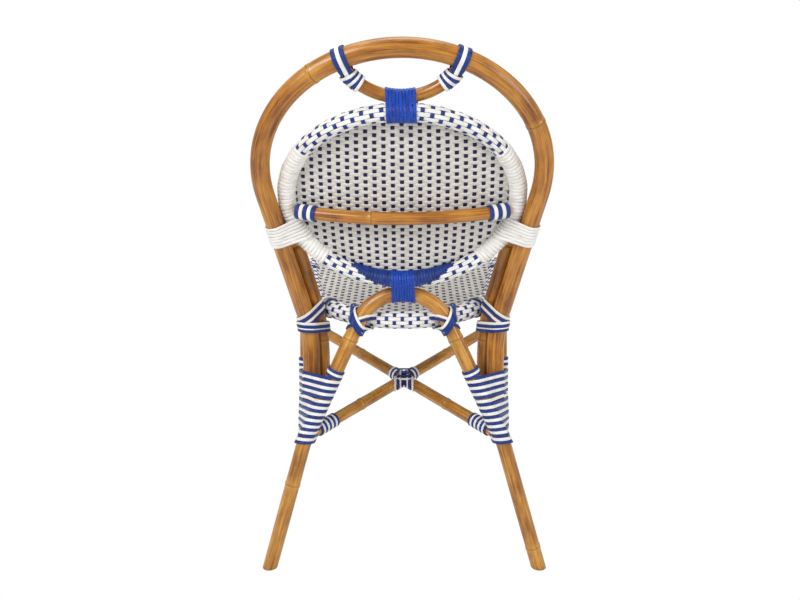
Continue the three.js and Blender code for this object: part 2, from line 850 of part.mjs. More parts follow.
// A woven panel: a ribbed sheet cut to its outline, with notches where bindings go round the rim
function wovenPanel(spokes, rows, faceAt, thickness, notches) {
  const halfWidth = Math.max(...spokes.map((spoke) => spoke.x)) + overrun;
  const ends = [-1, 1].map((way) => way * (Math.max(...spokes.map((spoke) => way * spoke.y)) + overrun));
  const sheet = toSolid(ribbedSheet(halfWidth, ends, rows, faceAt, thickness - ribHeight));
  let solid = sheet.intersect(toSolid(panelBlank(spokes, faceAt, thickness + 2 * blankSpare)));
  for (const notch of notches) solid = solid.subtract(notch);
  return fromSolid(solid);
}

// The stretch of a ring round one of its points, as a solid wide enough for a winding round the rim
function notchSolid(loop, middle, run, length, rimRadius) {
  const radius = woundRadius(rimRadius) + notchClearance;
  const frame = crossing(loop, middle, run);
  const ends = [-length / 2, length / 2].map((d) => frame.point.clone().addScaledVector(frame.run, d));
  return tubeSolid(ends, radius);
}

const ovalFrames = ringFrames(ovalRing, (point) => ovalForward(point.x));
const seatFrames = ringFrames(seatRing, () => at(0, 0, 1));
const seatPanelRise = seatRimRadius - seatPanelDrop - seatPanelThickness / 2;
const ovalSlot = slotFor(backFrameRadius, backRimRadius, backPanelForward, backPanelThickness);
const seatSlot = slotFor(seatFrameRadius, seatRimRadius, seatPanelRise, seatPanelThickness);
add("backrest_frame", ringCane(ovalFrames, backFrameRadius, ovalSlot), honeyCane);
add("backrest_rim_weave",
  ringSkin(ovalFrames, backFrameRadius + clearance, backRimRadius, ovalSlot), weave);
add("seat_frame", ringCane(seatFrames, seatFrameRadius, seatSlot), honeyCane);
add("seat_rim_weave",
  ringSkin(seatFrames, seatFrameRadius + clearance, seatRimRadius, seatSlot), weave);

// Places of the joints

const legAt = (cane, z) => crossing(cane, at(archTailHalfWidth, 0, z), at(0, 0, 1)).point;
const bandNormal = (degrees) => at(-Math.tan(radians(degrees)), -wrapBackSlope, 1).normalize();
const rimBeside = crossing(ovalLoop, postAt(sideBindingMiddle).point, postAt(sideBindingMiddle).run);
const hoopJoint = nearest(seatLoop, leftHoop);
const postJoint = nearest(seatLoop, leftArch);
const bisector = (joint) => {
  const same = joint.runA.dot(joint.runB) < 0 ? joint.runB.clone().negate() : joint.runB.clone();
  return same.add(joint.runA).normalize();
};

// Panels

function ovalNotch(angle, halfLength) {
  const rate = Math.hypot(ovalHalfWidth * Math.sin(angle), ovalHalfRise * Math.cos(angle));
  const sweep = halfLength / rate;
  const arc = [];
  const halfSteps = 2;
  for (let i = -halfSteps; i <= halfSteps; i++) arc.push(ovalRim(angle + sweep * i / halfSteps));
  return tubeSolid(arc, woundRadius(backRimRadius) + notchClearance);
}
const rimAngle = (x) => -Math.acos(x / ovalHalfWidth);
const sideBindingHalf = sideBindingLength / 2 + sideNotchSpare;
const backNotches = [
  ovalNotch(rimAngle(rimBeside.point.x), sideBindingHalf),
  ovalNotch(rimAngle(-rimBeside.point.x), sideBindingHalf),
  ovalNotch(Math.PI / 2, topBindingHalfWidth + notchSpare),
  ovalNotch(-Math.PI / 2, bottomWrapEnd + notchSpare),
];
const ovalSpokes = ovalRing.map((p, i) => {
  const angle = 2 * Math.PI * i / ringSteps;
  const normal = at(Math.cos(angle) / ovalHalfWidth, Math.sin(angle) / ovalHalfRise, 0).normalize();
  return {
    x: ovalHalfWidth * Math.cos(angle) - ovalSlot.inset * normal.x,
    y: ovalHalfRise * Math.sin(angle) - ovalSlot.inset * normal.y,
  };
});
const backFace = (x, y, side) => onOval(x, y, backPanelForward + side);
add("backrest_panel", wovenPanel(ovalSpokes, 1, backFace, backPanelThickness, backNotches), weave);

const seatMiddleBack = (seatCentreBack + seatRearRadius + seatFrontBack) / 2;
const seatSpokes = seatFrames.map((frame) => ({
  x: frame.point.x + seatSlot.inset * frame.inward.x,
  y: frame.point.y + seatSlot.inset * frame.inward.y - seatMiddleBack,
}));
const seatHalfWidth = Math.max(...seatSpokes.map((spoke) => spoke.x));
const seatHalfDepth = Math.max(...seatSpokes.map((spoke) => spoke.y));
const seatFace = (x, y, side) => {
  const share = Math.min(1, Math.hypot(x / seatHalfWidth, y / seatHalfDepth) / seatSagShare);
  const sag = seatPanelSag * (1 - share ** 2);
  return at(x, y + seatMiddleBack, seatFrameHeight + seatPanelRise + side - sag);
};
const lashNotchLength = 2 * (woundRadius(archRadius) + strandPitch);
const frontJoint = crossing(sideHoop, at(sideHoopFrontHalfWidth, frontLashBack, sideHoopHeight), at(0, 1, 0));
const seatNotches = [];
for (const place of [hoopJoint.a, postJoint.a, frontJoint.point]) {
  for (const point of [place, mirror(place)]) {
    const hit = nearest([point, point], seatLoop);
    seatNotches.push(notchSolid(seatLoop, hit.b, hit.runB, lashNotchLength, seatRimRadius));
  }
}
add("seat_panel", wovenPanel(seatSpokes, seatPanelRows, seatFace, seatPanelThickness, seatNotches), weave);

// Stretchers: each from a rear leg, through a half lap at the middle, to the far front leg

const stretcherRear = at(
  hoopLegHalfWidth(stretcherRearHeight), hoopBack(stretcherRearHeight), stretcherRearHeight
);
const frontLegShare = (sideHoopHeight - stretcherFrontHeight) / sideHoopHeight;
const stretcherFront = mirror(
  at(sideHoopFrontHalfWidth, sideHoopFrontBack, sideHoopHeight)
    .lerp(at(frontFootHalfWidth, frontFootBack, 0), frontLegShare)
);
const stretcherRun = stretcherFront.clone().sub(stretcherRear).normalize();
const alongStretcher = (distance) => stretcherRear.clone().addScaledVector(stretcherRun, distance);
const stretcher = [alongStretcher(stretcherRearSetback), stretcherFront];
const stretcherCross = alongStretcher(-stretcherRear.x / stretcherRun.x);
const stretcherNodeShares = [0.22, 0.68];

function halfSpace(height, above) {
  const size = 2 * archHalfWidth;
  const box = new THREE.BoxGeometry(size, size, size);
  box.translate(0, 0, height + (above ? size : -size) / 2);
  return toSolid(box);
}

function uprightPin(radius, length) {
  const pin = new THREE.CylinderGeometry(radius, radius, length, caneSides);
  pin.rotateX(Math.PI / 2);
  pin.translate(stretcherCross.x, stretcherCross.y, stretcherCross.z);
  return pin;
}

const farStretcher = stretcher.map(mirror);
const hole = toSolid(uprightPin(nailRadius + clearance, 2 * overrun));
const farSide = (path) => path.map(mirror);
for (const [name, own, across, above, leg, rearHoop, rearArch] of [
  ["stretcher_left", stretcher, farStretcher, false, farSide(sideHoop), leftHoop, leftArch],
  ["stretcher_right", farStretcher, stretcher, true, sideHoop, farSide(leftHoop), farSide(leftArch)],
]) {
  const body = toSolid(cane(own, stretcherRadius, { nodeShares: stretcherNodeShares }));
  const lapHeight = stretcherCross.z + (above ? -clearance : clearance) / 2;
  const lap = tubeSolid(across, stretcherRadius + clearance).intersect(halfSpace(lapHeight, above));
  const legCut = tubeSolid(leg, sideHoopRadius + clearance);
  const hoopCut = tubeSolid(rearHoop, woundRadius(hoopRadius) + notchClearance);
  const archCut = tubeSolid(rearArch, woundRadius(archRadius) + notchClearance);
  const coped = body.subtract(legCut).subtract(hoopCut).subtract(archCut);
  add(name, fromSolid(coped.subtract(lap).subtract(hole)), tanCane);
}
add("stretcher_crossing_nail", uprightPin(nailRadius, 2 * stretcherRadius - 2 * nailRadius), steel);

function knotPart(radius, length) {
  const arms = [stretcher, farStretcher].map((path) => {
    const run = path[1].clone().sub(path[0]).normalize();
    const ends = [-length, length].map((d) => stretcherCross.clone().addScaledVector(run, d));
    return tubeSolid(ends, radius);
  });
  return arms[0].add(arms[1]);
}
const knotBore = knotPart(stretcherRadius + clearance, knotArm + overrun);
const knotShell = knotPart(stretcherRadius + clearance + knotWall, knotArm).subtract(knotBore);
add("stretcher_knot", fromSolid(knotShell), whiteStrand);

// Hand hold between the arch and the top of the oval

const topOfOval = ovalRim(Math.PI / 2);
const fromKnee = topOfOval.clone().sub(archInPlane(0, 0));
const offArchPlane = fromKnee.y * Math.cos(archLean) - fromKnee.z * Math.sin(archLean);
const handleBottom = fromKnee.y * Math.sin(archLean) + fromKnee.z * Math.cos(archLean)
  + Math.sqrt((backRimRadius + handleRadius + clearance) ** 2 - offArchPlane ** 2);
function handlePath() {
  const radius = (handleHalfSpan ** 2 + handleDepth ** 2) / (2 * handleDepth);
  const sweep = Math.asin(handleHalfSpan / radius);
  const steps = 12;
  const points = [];
  for (let i = 0; i <= steps; i++) {
    const angle = sweep * (1 - 2 * i / steps);
    points.push(archInPlane(radius * Math.sin(angle), handleBottom + radius * (1 - Math.cos(angle))));
  }
  return points;
}
const handle = handlePath();
const archCut = tubeSolid(arch, archRadius + clearance);
add("top_handle", fromSolid(tubeSolid(handle, handleRadius).subtract(archCut)), honeyCane);

// Cross bar behind the oval

function crossbarPath() {
  const steps = 6;
  const points = [];
  const standoff = backPanelThickness / 2 + woundRadius(crossbarRadius) + clearance - backPanelForward;
  for (let i = 0; i <= steps; i++) {
    const share = 2 * i / steps - 1;
    const z = crossbarHeight + crossbarEndRise * share ** 2;
    const rise = (z - ovalBottomHeight) / Math.cos(ovalLean) - ovalHalfRise;
    points.push(onOval(-share * crossbarHalfLength, rise, -standoff));
  }
  return points;
}
const crossbar = crossbarPath();
const rimCut = toSolid(ringCane(ovalFrames, backRimRadius + clearance, ovalSlot));
const crossbarSolid = toSolid(cane(crossbar, crossbarRadius, { nodeShares: crossbarNodeShares }));
add("back_crossbar", fromSolid(crossbarSolid.subtract(rimCut)), honeyCane);

// Bindings round the leg joints

const reachOf = (...radii) => radii.reduce((sum, radius) => sum + 2 * radius, 0);
const pastEnd = (path) => path[0].clone().sub(path[1]).setLength(strandPitch).add(path[0]);
const archCane = {
  points: [pastEnd(leftArch), ...leftArch],
  radius: archRadius,
  reach: reachOf(archRadius, hoopRadius),
};
const hoopCane = { points: leftHoop, radius: hoopRadius, reach: reachOf(archRadius, hoopRadius) };
const sideCane = {
  points: [pastEnd(sideHoop), ...sideHoop],
  radius: sideHoopRadius,
  reach: reachOf(archRadius, hoopRadius, sideHoopRadius),
};
const braceCane = {
  points: [pastEnd(brace), ...brace],
  radius: braceRadius,
  reach: reachOf(archRadius, hoopRadius),
};
const seatRim = { points: seatLoop, radius: seatRimRadius, reach: reachOf(archRadius, hoopRadius) };
const ovalRimCane = { points: ovalLoop, radius: backRimRadius, reach: reachOf(archRadius, hoopRadius) };
const handleCane = { points: handle, radius: handleRadius, reach: reachOf(archRadius) };
const crossbarCane = { points: crossbar, radius: crossbarRadius, reach: reachOf(crossbarRadius) };
const stretcherCane = { points: stretcher, radius: stretcherRadius, reach: reachOf(stretcherRadius) };

function pairOfWindings(name, canes, course, material, options) {
  addPair(name, winding(name, canes, course, options), material);
}

// Two strands laid side by side, the blue one first
function twoColours(name, canes, course, turns, width) {
  const pitch = course.from.distanceTo(course.to) / turns;
  pairOfWindings(`${name}_blue`, canes, course, blueStrand, { turns, width });
  pairOfWindings(`${name}_white`, canes, course, whiteStrand, { turns, width, lead: pitch / 2 });
}

const wrapTopHeight = seatTopHeight - wrapTopDrop;
const wrapCourse = {
  from: legAt(leftHoop, seatTopHeight - wrapBottomDrop),
  to: legAt(leftArch, wrapTopHeight).lerp(legAt(leftHoop, wrapTopHeight), 0.5),
  fromNormal: bandNormal(wrapBottomDegrees),
  toNormal: bandNormal(wrapTopDegrees),
  guide: at(-1, -1, 0),
};
twoColours("leg_wrap", [archCane, hoopCane, sideCane, braceCane], wrapCourse, wrapTurns, strandWidth);

const hoopCollar = crossing(
  leftHoop, at(archTailHalfWidth, 0, seatTopHeight - hoopCollarDrop), at(0, 0, 1)
);
const sideCollar = crossing(
  sideHoop, at(sideHoopRearHalfWidth, archKneeBack, seatTopHeight - sideCollarDrop), at(0, 0, 1)
);
const collarLength = collarTurns * strandPitch;
pairOfWindings("hoop_collar", [hoopCane], courseAt(hoopCollar.point, hoopCollar.run, collarLength),
  blueStrand, { turns: collarTurns });
pairOfWindings("side_collar", [sideCane], courseAt(sideCollar.point, sideCollar.run, collarLength),
  blueStrand, { turns: collarTurns });

// Bindings of the oval

const sideBinding = courseAt(
  postAt(sideBindingMiddle).point.clone().lerp(rimBeside.point, 0.5),
  postAt(sideBindingMiddle).run,
  sideBindingLength
);
pairOfWindings("side_binding", [archCane, ovalRimCane], sideBinding, whiteStrand,
  { turns: sideBindingTurns, width: strandWidth });

const acrossChair = at(1, 0, 0);
const topBinding = courseAt(
  topOfOval.clone().add(at(0, 0, handleRadius)), acrossChair, 2 * topBindingHalfWidth
);
add("top_centre_binding",
  winding("top_centre_binding", [handleCane, ovalRimCane], topBinding,
    { turns: topBindingTurns, width: fineStrandWidth }), blueStrand);
const bottomOfOval = ovalRim(-Math.PI / 2);
const topHoopCane = { points: hoop, radius: hoopRadius, reach: reachOf(hoopRadius, backRimRadius) };
const bottomBinding = courseAt(bottomOfOval.clone().add(at(0, 0, -hoopRadius)), acrossChair,
  2 * bottomBindingHalfWidth);
add("bottom_centre_binding",
  winding("bottom_centre_binding", [topHoopCane, ovalRimCane], bottomBinding,
    { turns: bottomBindingTurns, width: fineStrandWidth }), blueStrand);

const rimRun = (angle) => {
  const around = ovalForward(ovalRim(angle).x);
  const out = ovalRim(angle).sub(onOval(0, 0));
  return around.cross(out).normalize();
};
const bottomWrap = {
  from: ovalRim(rimAngle(bottomWrapStart)),
  to: ovalRim(rimAngle(bottomWrapEnd)),
  fromNormal: rimRun(rimAngle(bottomWrapStart)),
  toNormal: rimRun(rimAngle(bottomWrapEnd)),
  guide: at(0, -1, 0),
};
pairOfWindings("bottom_rim_wrap", [ovalRimCane], bottomWrap, blueStrand,
  { turns: bottomWrapTurns, width: bandWidth });

const barHit = crossing(
  crossbar, at(crossbarHalfLength - crossbarBindingInset, archKneeBack, crossbarHeight), acrossChair
);
const crossbarBindingLength = 2 * crossbarBindingTurns * bandPitch;
twoColours("crossbar_binding", [crossbarCane],
  courseAt(barHit.point, barHit.run, crossbarBindingLength), crossbarBindingTurns, bandWidth);

// Bindings of the handle: a flat strap over the arch, and a knot round the handle beside it

const handleLengths = pathLengths(handle);
const handleJoint = nearest(handle, leftArch);
const knotPoint = pointAlong(handle, handleLengths, handleKnotStart);
function strapSolid() {
  const middle = handleJoint.b;
  const away = knotPoint.clone().sub(middle).normalize();
  const rear = away.clone().cross(handleJoint.runB).normalize();
  if (rear.y < 0) rear.negate();
  const face = handleRadius + strandOffset;
  const radius = archRadius + strandOffset + strandClearance;
  const first = Math.atan2(face, strapReach) + Math.acos(radius / Math.hypot(strapReach, face));
  const sweep = 2 * (Math.PI - first);
  const bulge = Math.cos(sweep / strapSteps / 2);
  const spot = (out, up) => middle.clone().addScaledVector(away, out).addScaledVector(rear, up);
  const facing = (angle) => spot(Math.cos(angle), Math.sin(angle)).sub(middle);
  const points = [spot(strapReach, face)];
  const faces = [facing(first)];
  for (let i = 0; i <= strapSteps; i++) {
    const angle = first + sweep * i / strapSteps;
    points.push(spot(radius / bulge * Math.cos(angle), radius / bulge * Math.sin(angle)));
    faces.push(facing(angle));
  }
  points.push(spot(strapReach, -face));
  faces.push(facing(-first));
  return skinRings(strip(points, faces, strapWidth));
}
addPair("handle_strap", strapSolid(), blueStrand);
const handleKnotLength = 2 * handleKnotTurns * strandPitch;
const knotMiddle = pointAlong(handle, handleLengths, handleKnotStart + handleKnotLength / 2);
const knotRun = nearest([knotMiddle, knotMiddle], handle).runB;
twoColours("handle_knot", [handleCane],
  courseAt(knotMiddle, knotRun, handleKnotLength), handleKnotTurns, strandWidth);

// Lashings of the seat

const postMiddle = postAt(seatTopHeight - postLashDrop);
const postLashRun = at(0, -postLashBackSlope, 1).normalize();
twoColours("post_lash", [archCane, braceCane],
  courseAt(postMiddle.point, postLashRun, 2 * lashTurns * strandPitch), lashTurns, fineStrandWidth);
const seatLashMiddle = postJoint.a.clone().lerp(postJoint.b, 0.5).add(at(0, 0, seatLashRise));
const overLash = (cane) => ({ ...cane, radius: cane.radius + strandThickness + clearance });
pairOfWindings("seat_lash", [overLash(archCane), overLash(braceCane), seatRim],
  courseAt(seatLashMiddle, bisector(postJoint), lashTurns * strandPitch),
  blueStrand, { turns: lashTurns });
pairOfWindings("hoop_lash", [hoopCane, seatRim],
  courseAt(hoopJoint.a.clone().lerp(hoopJoint.b, 0.5), bisector(hoopJoint), lashTurns * strandPitch),
  blueStrand, { turns: lashTurns });
pairOfWindings("front_lash", [sideCane, seatRim],
  courseAt(frontJoint.point, frontJoint.run, lashTurns * strandPitch), blueStrand, { turns: lashTurns });

// Sleeves where the stretchers meet the legs

const sleeveCourse = (start, length) => ({
  from: alongStretcher(start),
  to: alongStretcher(start + length),
  fromNormal: stretcherRun,
  toNormal: stretcherRun,
  guide: at(0, 0, -1),
});
twoColours("rear_sleeve", [stretcherCane],
  sleeveCourse(rearSleeveStart, 2 * rearSleeveTurns * strandPitch), rearSleeveTurns, strandWidth);
const stretcherLength = stretcherRear.distanceTo(stretcherFront);
const frontSleeveLength = frontSleeveTurns * bandPitch;
pairOfWindings("front_sleeve", [stretcherCane],
  sleeveCourse(stretcherLength - frontSleeveStart - frontSleeveLength, frontSleeveLength),
  whiteStrand, { turns: frontSleeveTurns, width: bandWidth });

console.log("Least gap of each winding to itself, mm:", gapReport.join("; "));

export default chair;
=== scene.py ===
# Rattan bistro chair: smooth canes, a woven seat and back, and joints bound with strand.
# The paths repeat the CAD's own sizes in millimetres; meshes are made in metres.

from collections import namedtuple
from math import acos, asin, atan, atan2, ceil, cos, hypot, pi, radians, sin, sqrt, tan, tau

import bpy
import numpy as np
from mathutils import Matrix


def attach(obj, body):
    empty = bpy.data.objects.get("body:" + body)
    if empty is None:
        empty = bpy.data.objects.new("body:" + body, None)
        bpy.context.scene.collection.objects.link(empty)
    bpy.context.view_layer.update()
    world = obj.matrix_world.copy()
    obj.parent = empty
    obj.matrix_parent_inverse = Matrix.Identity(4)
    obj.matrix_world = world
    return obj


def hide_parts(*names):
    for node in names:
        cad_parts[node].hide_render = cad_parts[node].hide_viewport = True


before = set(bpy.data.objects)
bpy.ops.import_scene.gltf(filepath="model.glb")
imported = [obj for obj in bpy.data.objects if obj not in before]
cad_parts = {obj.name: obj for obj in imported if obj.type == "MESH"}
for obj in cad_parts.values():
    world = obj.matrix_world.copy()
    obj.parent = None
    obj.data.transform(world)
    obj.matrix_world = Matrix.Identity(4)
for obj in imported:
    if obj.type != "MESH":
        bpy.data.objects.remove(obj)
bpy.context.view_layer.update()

# Sizes shared with the CAD, in millimetres

MM = 0.001
CLEARANCE = 0.4
ARCH_R = 15.5
HOOP_R = 13
SIDE_R = 12.5
BRACE_R = 12
STRETCHER_R = 10.8
CROSSBAR_R = 10.5
HANDLE_R = 10
SEAT_FRAME_R = 11.5
BACK_FRAME_R = 10.5
NODE_SWELL = 0.9
CAD_STRAND_THICK = 2.4
CAD_STRAND_CLEARANCE = 0.6
CAD_TURN_STEPS = 7
OVERALL_HEIGHT, SEAT_HEIGHT = 917, 459.5
SEAT_SKIN, BACK_SKIN = 4.1, 3.6
BACK_PANEL_THICK, BACK_FORWARD = 5, 5.5
SEAT_RIM_R = SEAT_FRAME_R + CLEARANCE + SEAT_SKIN
BACK_RIM_R = BACK_FRAME_R + CLEARANCE + BACK_SKIN
SEAT_FRAME_Z = SEAT_HEIGHT - SEAT_RIM_R

# Strands as they look, and the steps of the paths

THICK, LIFT = 1.9, 0.35
MID_LIFT = LIFT + THICK / 2
PATH_STEP, CORNER_STEPS = 4, 24


def vec(x, y, z):
    return np.array([x, y, z], float)


ACROSS, IN_FRONT, UP, BELOW = vec(1, 0, 0), vec(0, -1, 0), vec(0, 0, 1), vec(0, 0, -1)


def unit(v):
    return v / np.linalg.norm(v, axis=-1, keepdims=True)


def toward(way, v):
    """A direction or its opposite, whichever goes a given way."""
    return v if v @ way > 0 else -v


def mirror(p):
    return p * vec(-1, 1, 1)


def turned(v, axis, angle):
    c, s = cos(angle), sin(angle)
    return v * c + np.cross(axis, v) * s + axis * (axis @ v) * (1 - c)


def wound_radius(radius):
    """How far a CAD winding stands out from the middle line of its cane."""
    lift = CAD_STRAND_CLEARANCE + CAD_STRAND_THICK / 2
    return (radius + lift) / cos(pi / CAD_TURN_STEPS) + CAD_STRAND_THICK / 2


# Paths


def fillet_path(corners):
    """A path through corners, each with the radius that rounds it."""
    points = [corners[0][0]]
    for i in range(1, len(corners) - 1):
        corner, radius = corners[i]
        back = unit(corners[i - 1][0] - corner)
        ahead = unit(corners[i + 1][0] - corner)
        half = acos(back @ ahead) / 2
        centre = corner + unit(back + ahead) * radius / sin(half)
        start = corner + back * radius / tan(half) - centre
        axis = unit(np.cross(back, ahead))
        sweep = pi - 2 * half
        for k in range(CORNER_STEPS + 1):
            points.append(turned(start, axis, -sweep * k / CORNER_STEPS) + centre)
    points.append(corners[-1][0])
    return np.array(points)


def with_mirror(half):
    return np.concatenate([half, mirror(half[-2::-1])])


def lengths_of(points):
    return np.concatenate([[0], np.cumsum(np.linalg.norm(np.diff(points, axis=0), axis=1))])


def along(points, lengths, at):
    """The points of a path at some lengths along it."""
    return np.stack([np.interp(at, lengths, points[:, k]) for k in range(3)], axis=-1)


def resample(points, step=PATH_STEP):
    lengths = lengths_of(points)
    count = max(2, int(round(lengths[-1] / step)) + 1)
    return along(points, lengths, np.linspace(0, lengths[-1], count))


def softened(points):
    """The same path with its small corners eased and its ends kept."""
    p = points.copy()
    for _ in range(12):
        p[1:-1] = (p[:-2] + 2 * p[1:-1] + p[2:]) / 4
    return p


def crossing(points, origin, normal):
    """Where a middle line crosses a plane nearest to a point, and how it runs there."""
    d = (points - origin) @ normal
    best = None
    for i in np.nonzero((d[:-1] * d[1:] <= 0) & (d[:-1] != d[1:]))[0]:
        share = d[i] / (d[i] - d[i + 1])
        point = points[i] + (points[i + 1] - points[i]) * share
        gap = np.linalg.norm(point - origin)
        if best is None or gap < best[2]:
            best = (point, unit(points[i + 1] - points[i]), gap)
    return best


def nearest(first, second):
    """Where two middle lines come closest, and how each runs there."""
    a = (first[1:] + first[:-1]) / 2
    gaps = np.linalg.norm(a[:, None] - second[None], axis=2)
    i, j = np.unravel_index(gaps.argmin(), gaps.shape)
    j2 = min(j + 1, len(second) - 1)
    return a[i], second[j], unit(first[i + 1] - first[i]), unit(second[j2] - second[j2 - 1])


# Main lines of the frame

ARCH_Z = OVERALL_HEIGHT - ARCH_R
ARCH_W, ARCH_WIDEST = 224, 0.606
KNEE_W, KNEE_H, KNEE_BACK = 163, 412, 129.5
KNEE_BEND, FLANK_R = 150, 190
FLANK_STEPS, TOP_STEPS, HOOP_STEPS, BRACE_STEPS = 12, 80, 40, 40
arch_lean = radians(14.873)


def in_arch_plane(w, h):
    return vec(w, KNEE_BACK + h * sin(arch_lean), KNEE_H + h * cos(arch_lean))


arch_top_h = (ARCH_Z - KNEE_H) / cos(arch_lean)
widest_h = ARCH_WIDEST * arch_top_h
flank_inset = ARCH_W - KNEE_W - FLANK_R
flare = atan2(flank_inset, widest_h) + asin(FLANK_R / hypot(widest_h, flank_inset))
flank_w = ARCH_W - FLANK_R * (1 - cos(flare))
flank_h = widest_h - FLANK_R * sin(flare)

FOOT_W, FOOT_BACK = 241.5, 240
HOOP_TOP_H, HOOP_TOP_BACK = 494, 167
BEND_W, BEND_H, HOOP_BEND = 173.5, 236, 260
hoop_angle = radians(24.9)
hoop_lean = atan2(FOOT_BACK - HOOP_TOP_BACK, HOOP_TOP_H)


def hoop_back(z):
    return FOOT_BACK - z * tan(hoop_lean)


def hoop_leg_w(z):
    return BEND_W - (z - BEND_H) * tan(hoop_angle)


apex_h = BEND_H + BEND_W / tan(hoop_angle)
hoop_top_r = (apex_h - HOOP_TOP_H) / (1 / sin(hoop_angle) - 1)

TAIL_W, TAIL_H = 162.5, 250
tail_cross_h = BEND_H + (BEND_W - TAIL_W) / tan(hoop_angle)
tail_run = unit(vec(0, 1, -1 / tan(arch_lean)))
leg_run = unit(vec(tan(hoop_angle), tan(hoop_lean), -1))
tail_across = unit(np.cross(tail_run, leg_run))
tail_cross_back = hoop_back(tail_cross_h) - (ARCH_R + HOOP_R + 2 * CLEARANCE) / abs(tail_across[1])
tail_slope = (tail_cross_back - KNEE_BACK) / (KNEE_H - tail_cross_h)


def arch_path():
    knee = fillet_path([
        (vec(TAIL_W, KNEE_BACK + (KNEE_H - TAIL_H) * tail_slope, TAIL_H), 0),
        (in_arch_plane(KNEE_W, 0), KNEE_BEND),
        (in_arch_plane(flank_w, flank_h), 0),
    ])
    half = list(knee)
    for i in range(1, FLANK_STEPS + 1):
        angle = flare * (1 - i / FLANK_STEPS)
        w = ARCH_W - FLANK_R * (1 - cos(angle))
        half.append(in_arch_plane(w, widest_h - FLANK_R * sin(angle)))
    for i in range(1, TOP_STEPS + 1):
        angle = pi / 2 * i / TOP_STEPS
        h = widest_h + (arch_top_h - widest_h) * sin(angle)
        half.append(in_arch_plane(ARCH_W * cos(angle), h))
    half[-1][0] = 0
    return with_mirror(np.array(half))


def hoop_path():
    half = list(fillet_path([
        (vec(FOOT_W, FOOT_BACK, 0), 0),
        (vec(BEND_W, hoop_back(BEND_H), BEND_H), HOOP_BEND),
        (vec(0, hoop_back(apex_h), apex_h), 0),
    ])[:-1])
    for i in range(HOOP_STEPS + 1):
        turn = hoop_angle + (pi / 2 - hoop_angle) * i / HOOP_STEPS
        z = HOOP_TOP_H - hoop_top_r * (1 - sin(turn))
        half.append(vec(hoop_top_r * cos(turn), hoop_back(z), z))
    half[-1][0] = 0
    return with_mirror(np.array(half))


SIDE_REAR_W, SIDE_FRONT_W, SIDE_FRONT_BACK, SIDE_TAIL_H = 175, 198, -214, 299
FRONT_FOOT_W, FRONT_FOOT_BACK = 216, -262
SIDE_REAR_BEND, SIDE_FRONT_BEND = 85, 70
side_tail_forward = sqrt(
    (ARCH_R + wound_radius(SIDE_R) + CLEARANCE) ** 2 - (SIDE_REAR_W - KNEE_W) ** 2
) / cos(atan(tail_slope))
SIDE_Z = SEAT_FRAME_Z - SEAT_RIM_R - SIDE_R - CLEARANCE


def side_tail_back(z):
    return KNEE_BACK + (KNEE_H - z) * tail_slope - side_tail_forward


def side_hoop_path():
    return fillet_path([
        (vec(SIDE_REAR_W - (KNEE_W - TAIL_W), side_tail_back(SIDE_TAIL_H), SIDE_TAIL_H), 0),
        (vec(SIDE_REAR_W, side_tail_back(SIDE_Z), SIDE_Z), SIDE_REAR_BEND),
        (vec(SIDE_FRONT_W, SIDE_FRONT_BACK, SIDE_Z), SIDE_FRONT_BEND),
        (vec(FRONT_FOOT_W, FRONT_FOOT_BACK, 0), 0),
    ])


OVAL_W, OVAL_TOP, OVAL_BOW = 188.04, 808, 34
oval_lean = radians(15.2)
rests_at = radians(18)
rests_on = HOOP_R + BACK_RIM_R + CLEARANCE
oval_bottom_h = HOOP_TOP_H + rests_on * cos(rests_at)
oval_bottom_back = HOOP_TOP_BACK + rests_on * sin(rests_at)
oval_rise = (OVAL_TOP - oval_bottom_h) / 2 / cos(oval_lean)


def oval_forward(x):
    slope = -2 * OVAL_BOW * x / OVAL_W ** 2
    c, s = cos(oval_lean), sin(oval_lean)
    return unit(np.stack([slope * c, -c + 0 * slope, s + 0 * slope], axis=-1))


def on_oval(x, rise, forward=0.0):
    x, rise, forward = np.broadcast_arrays(x, rise, forward)
    place = np.stack([
        x,
        oval_bottom_back + (oval_rise + rise) * sin(oval_lean) - OVAL_BOW * (x / OVAL_W) ** 2,
        oval_bottom_h + (oval_rise + rise) * cos(oval_lean),
    ], axis=-1)
    return place + oval_forward(x) * forward[..., None]


def oval_ring():
    angle = np.linspace(0, tau, 361)
    return on_oval(OVAL_W * np.cos(angle), oval_rise * np.sin(angle))


SEAT_REAR_R, SEAT_CENTRE, SEAT_FRONT, SEAT_CORNER = 165.1, -5, -229, 75
seat_flare = radians(9)


def seat_outline():
    angle = seat_flare + (pi - 2 * seat_flare) * np.arange(61) / 60
    rear = np.stack([
        SEAT_REAR_R * np.cos(angle), SEAT_CENTRE + SEAT_REAR_R * np.sin(angle),
        np.full_like(angle, SEAT_FRAME_Z)], axis=1)
    end = rear[-1]
    front_w = -end[0] + (end[1] - SEAT_FRONT) * tan(seat_flare)
    corners = fillet_path([
        (end, 0),
        (vec(-front_w, SEAT_FRONT, SEAT_FRAME_Z), SEAT_CORNER),
        (vec(front_w, SEAT_FRONT, SEAT_FRAME_Z), SEAT_CORNER),
        (rear[0], 0),
    ])
    return np.concatenate([rear, corners[1:]])


arch = resample(arch_path())
hoop = resample(hoop_path())
side_hoop = resample(side_hoop_path())
left_arch = arch[:len(arch) // 2 + 1]
left_hoop = hoop[:len(hoop) // 2 + 1]
seat_ring = resample(seat_outline())
oval = resample(oval_ring())


def at_height(path, z):
    """Where a post or leg is at a height, and how it runs there."""
    return crossing(path, vec(TAIL_W, 0, z), UP)[:2]


BRACE_LOW, BRACE_HIGH, BRACE_TURN = 300, 566, 50


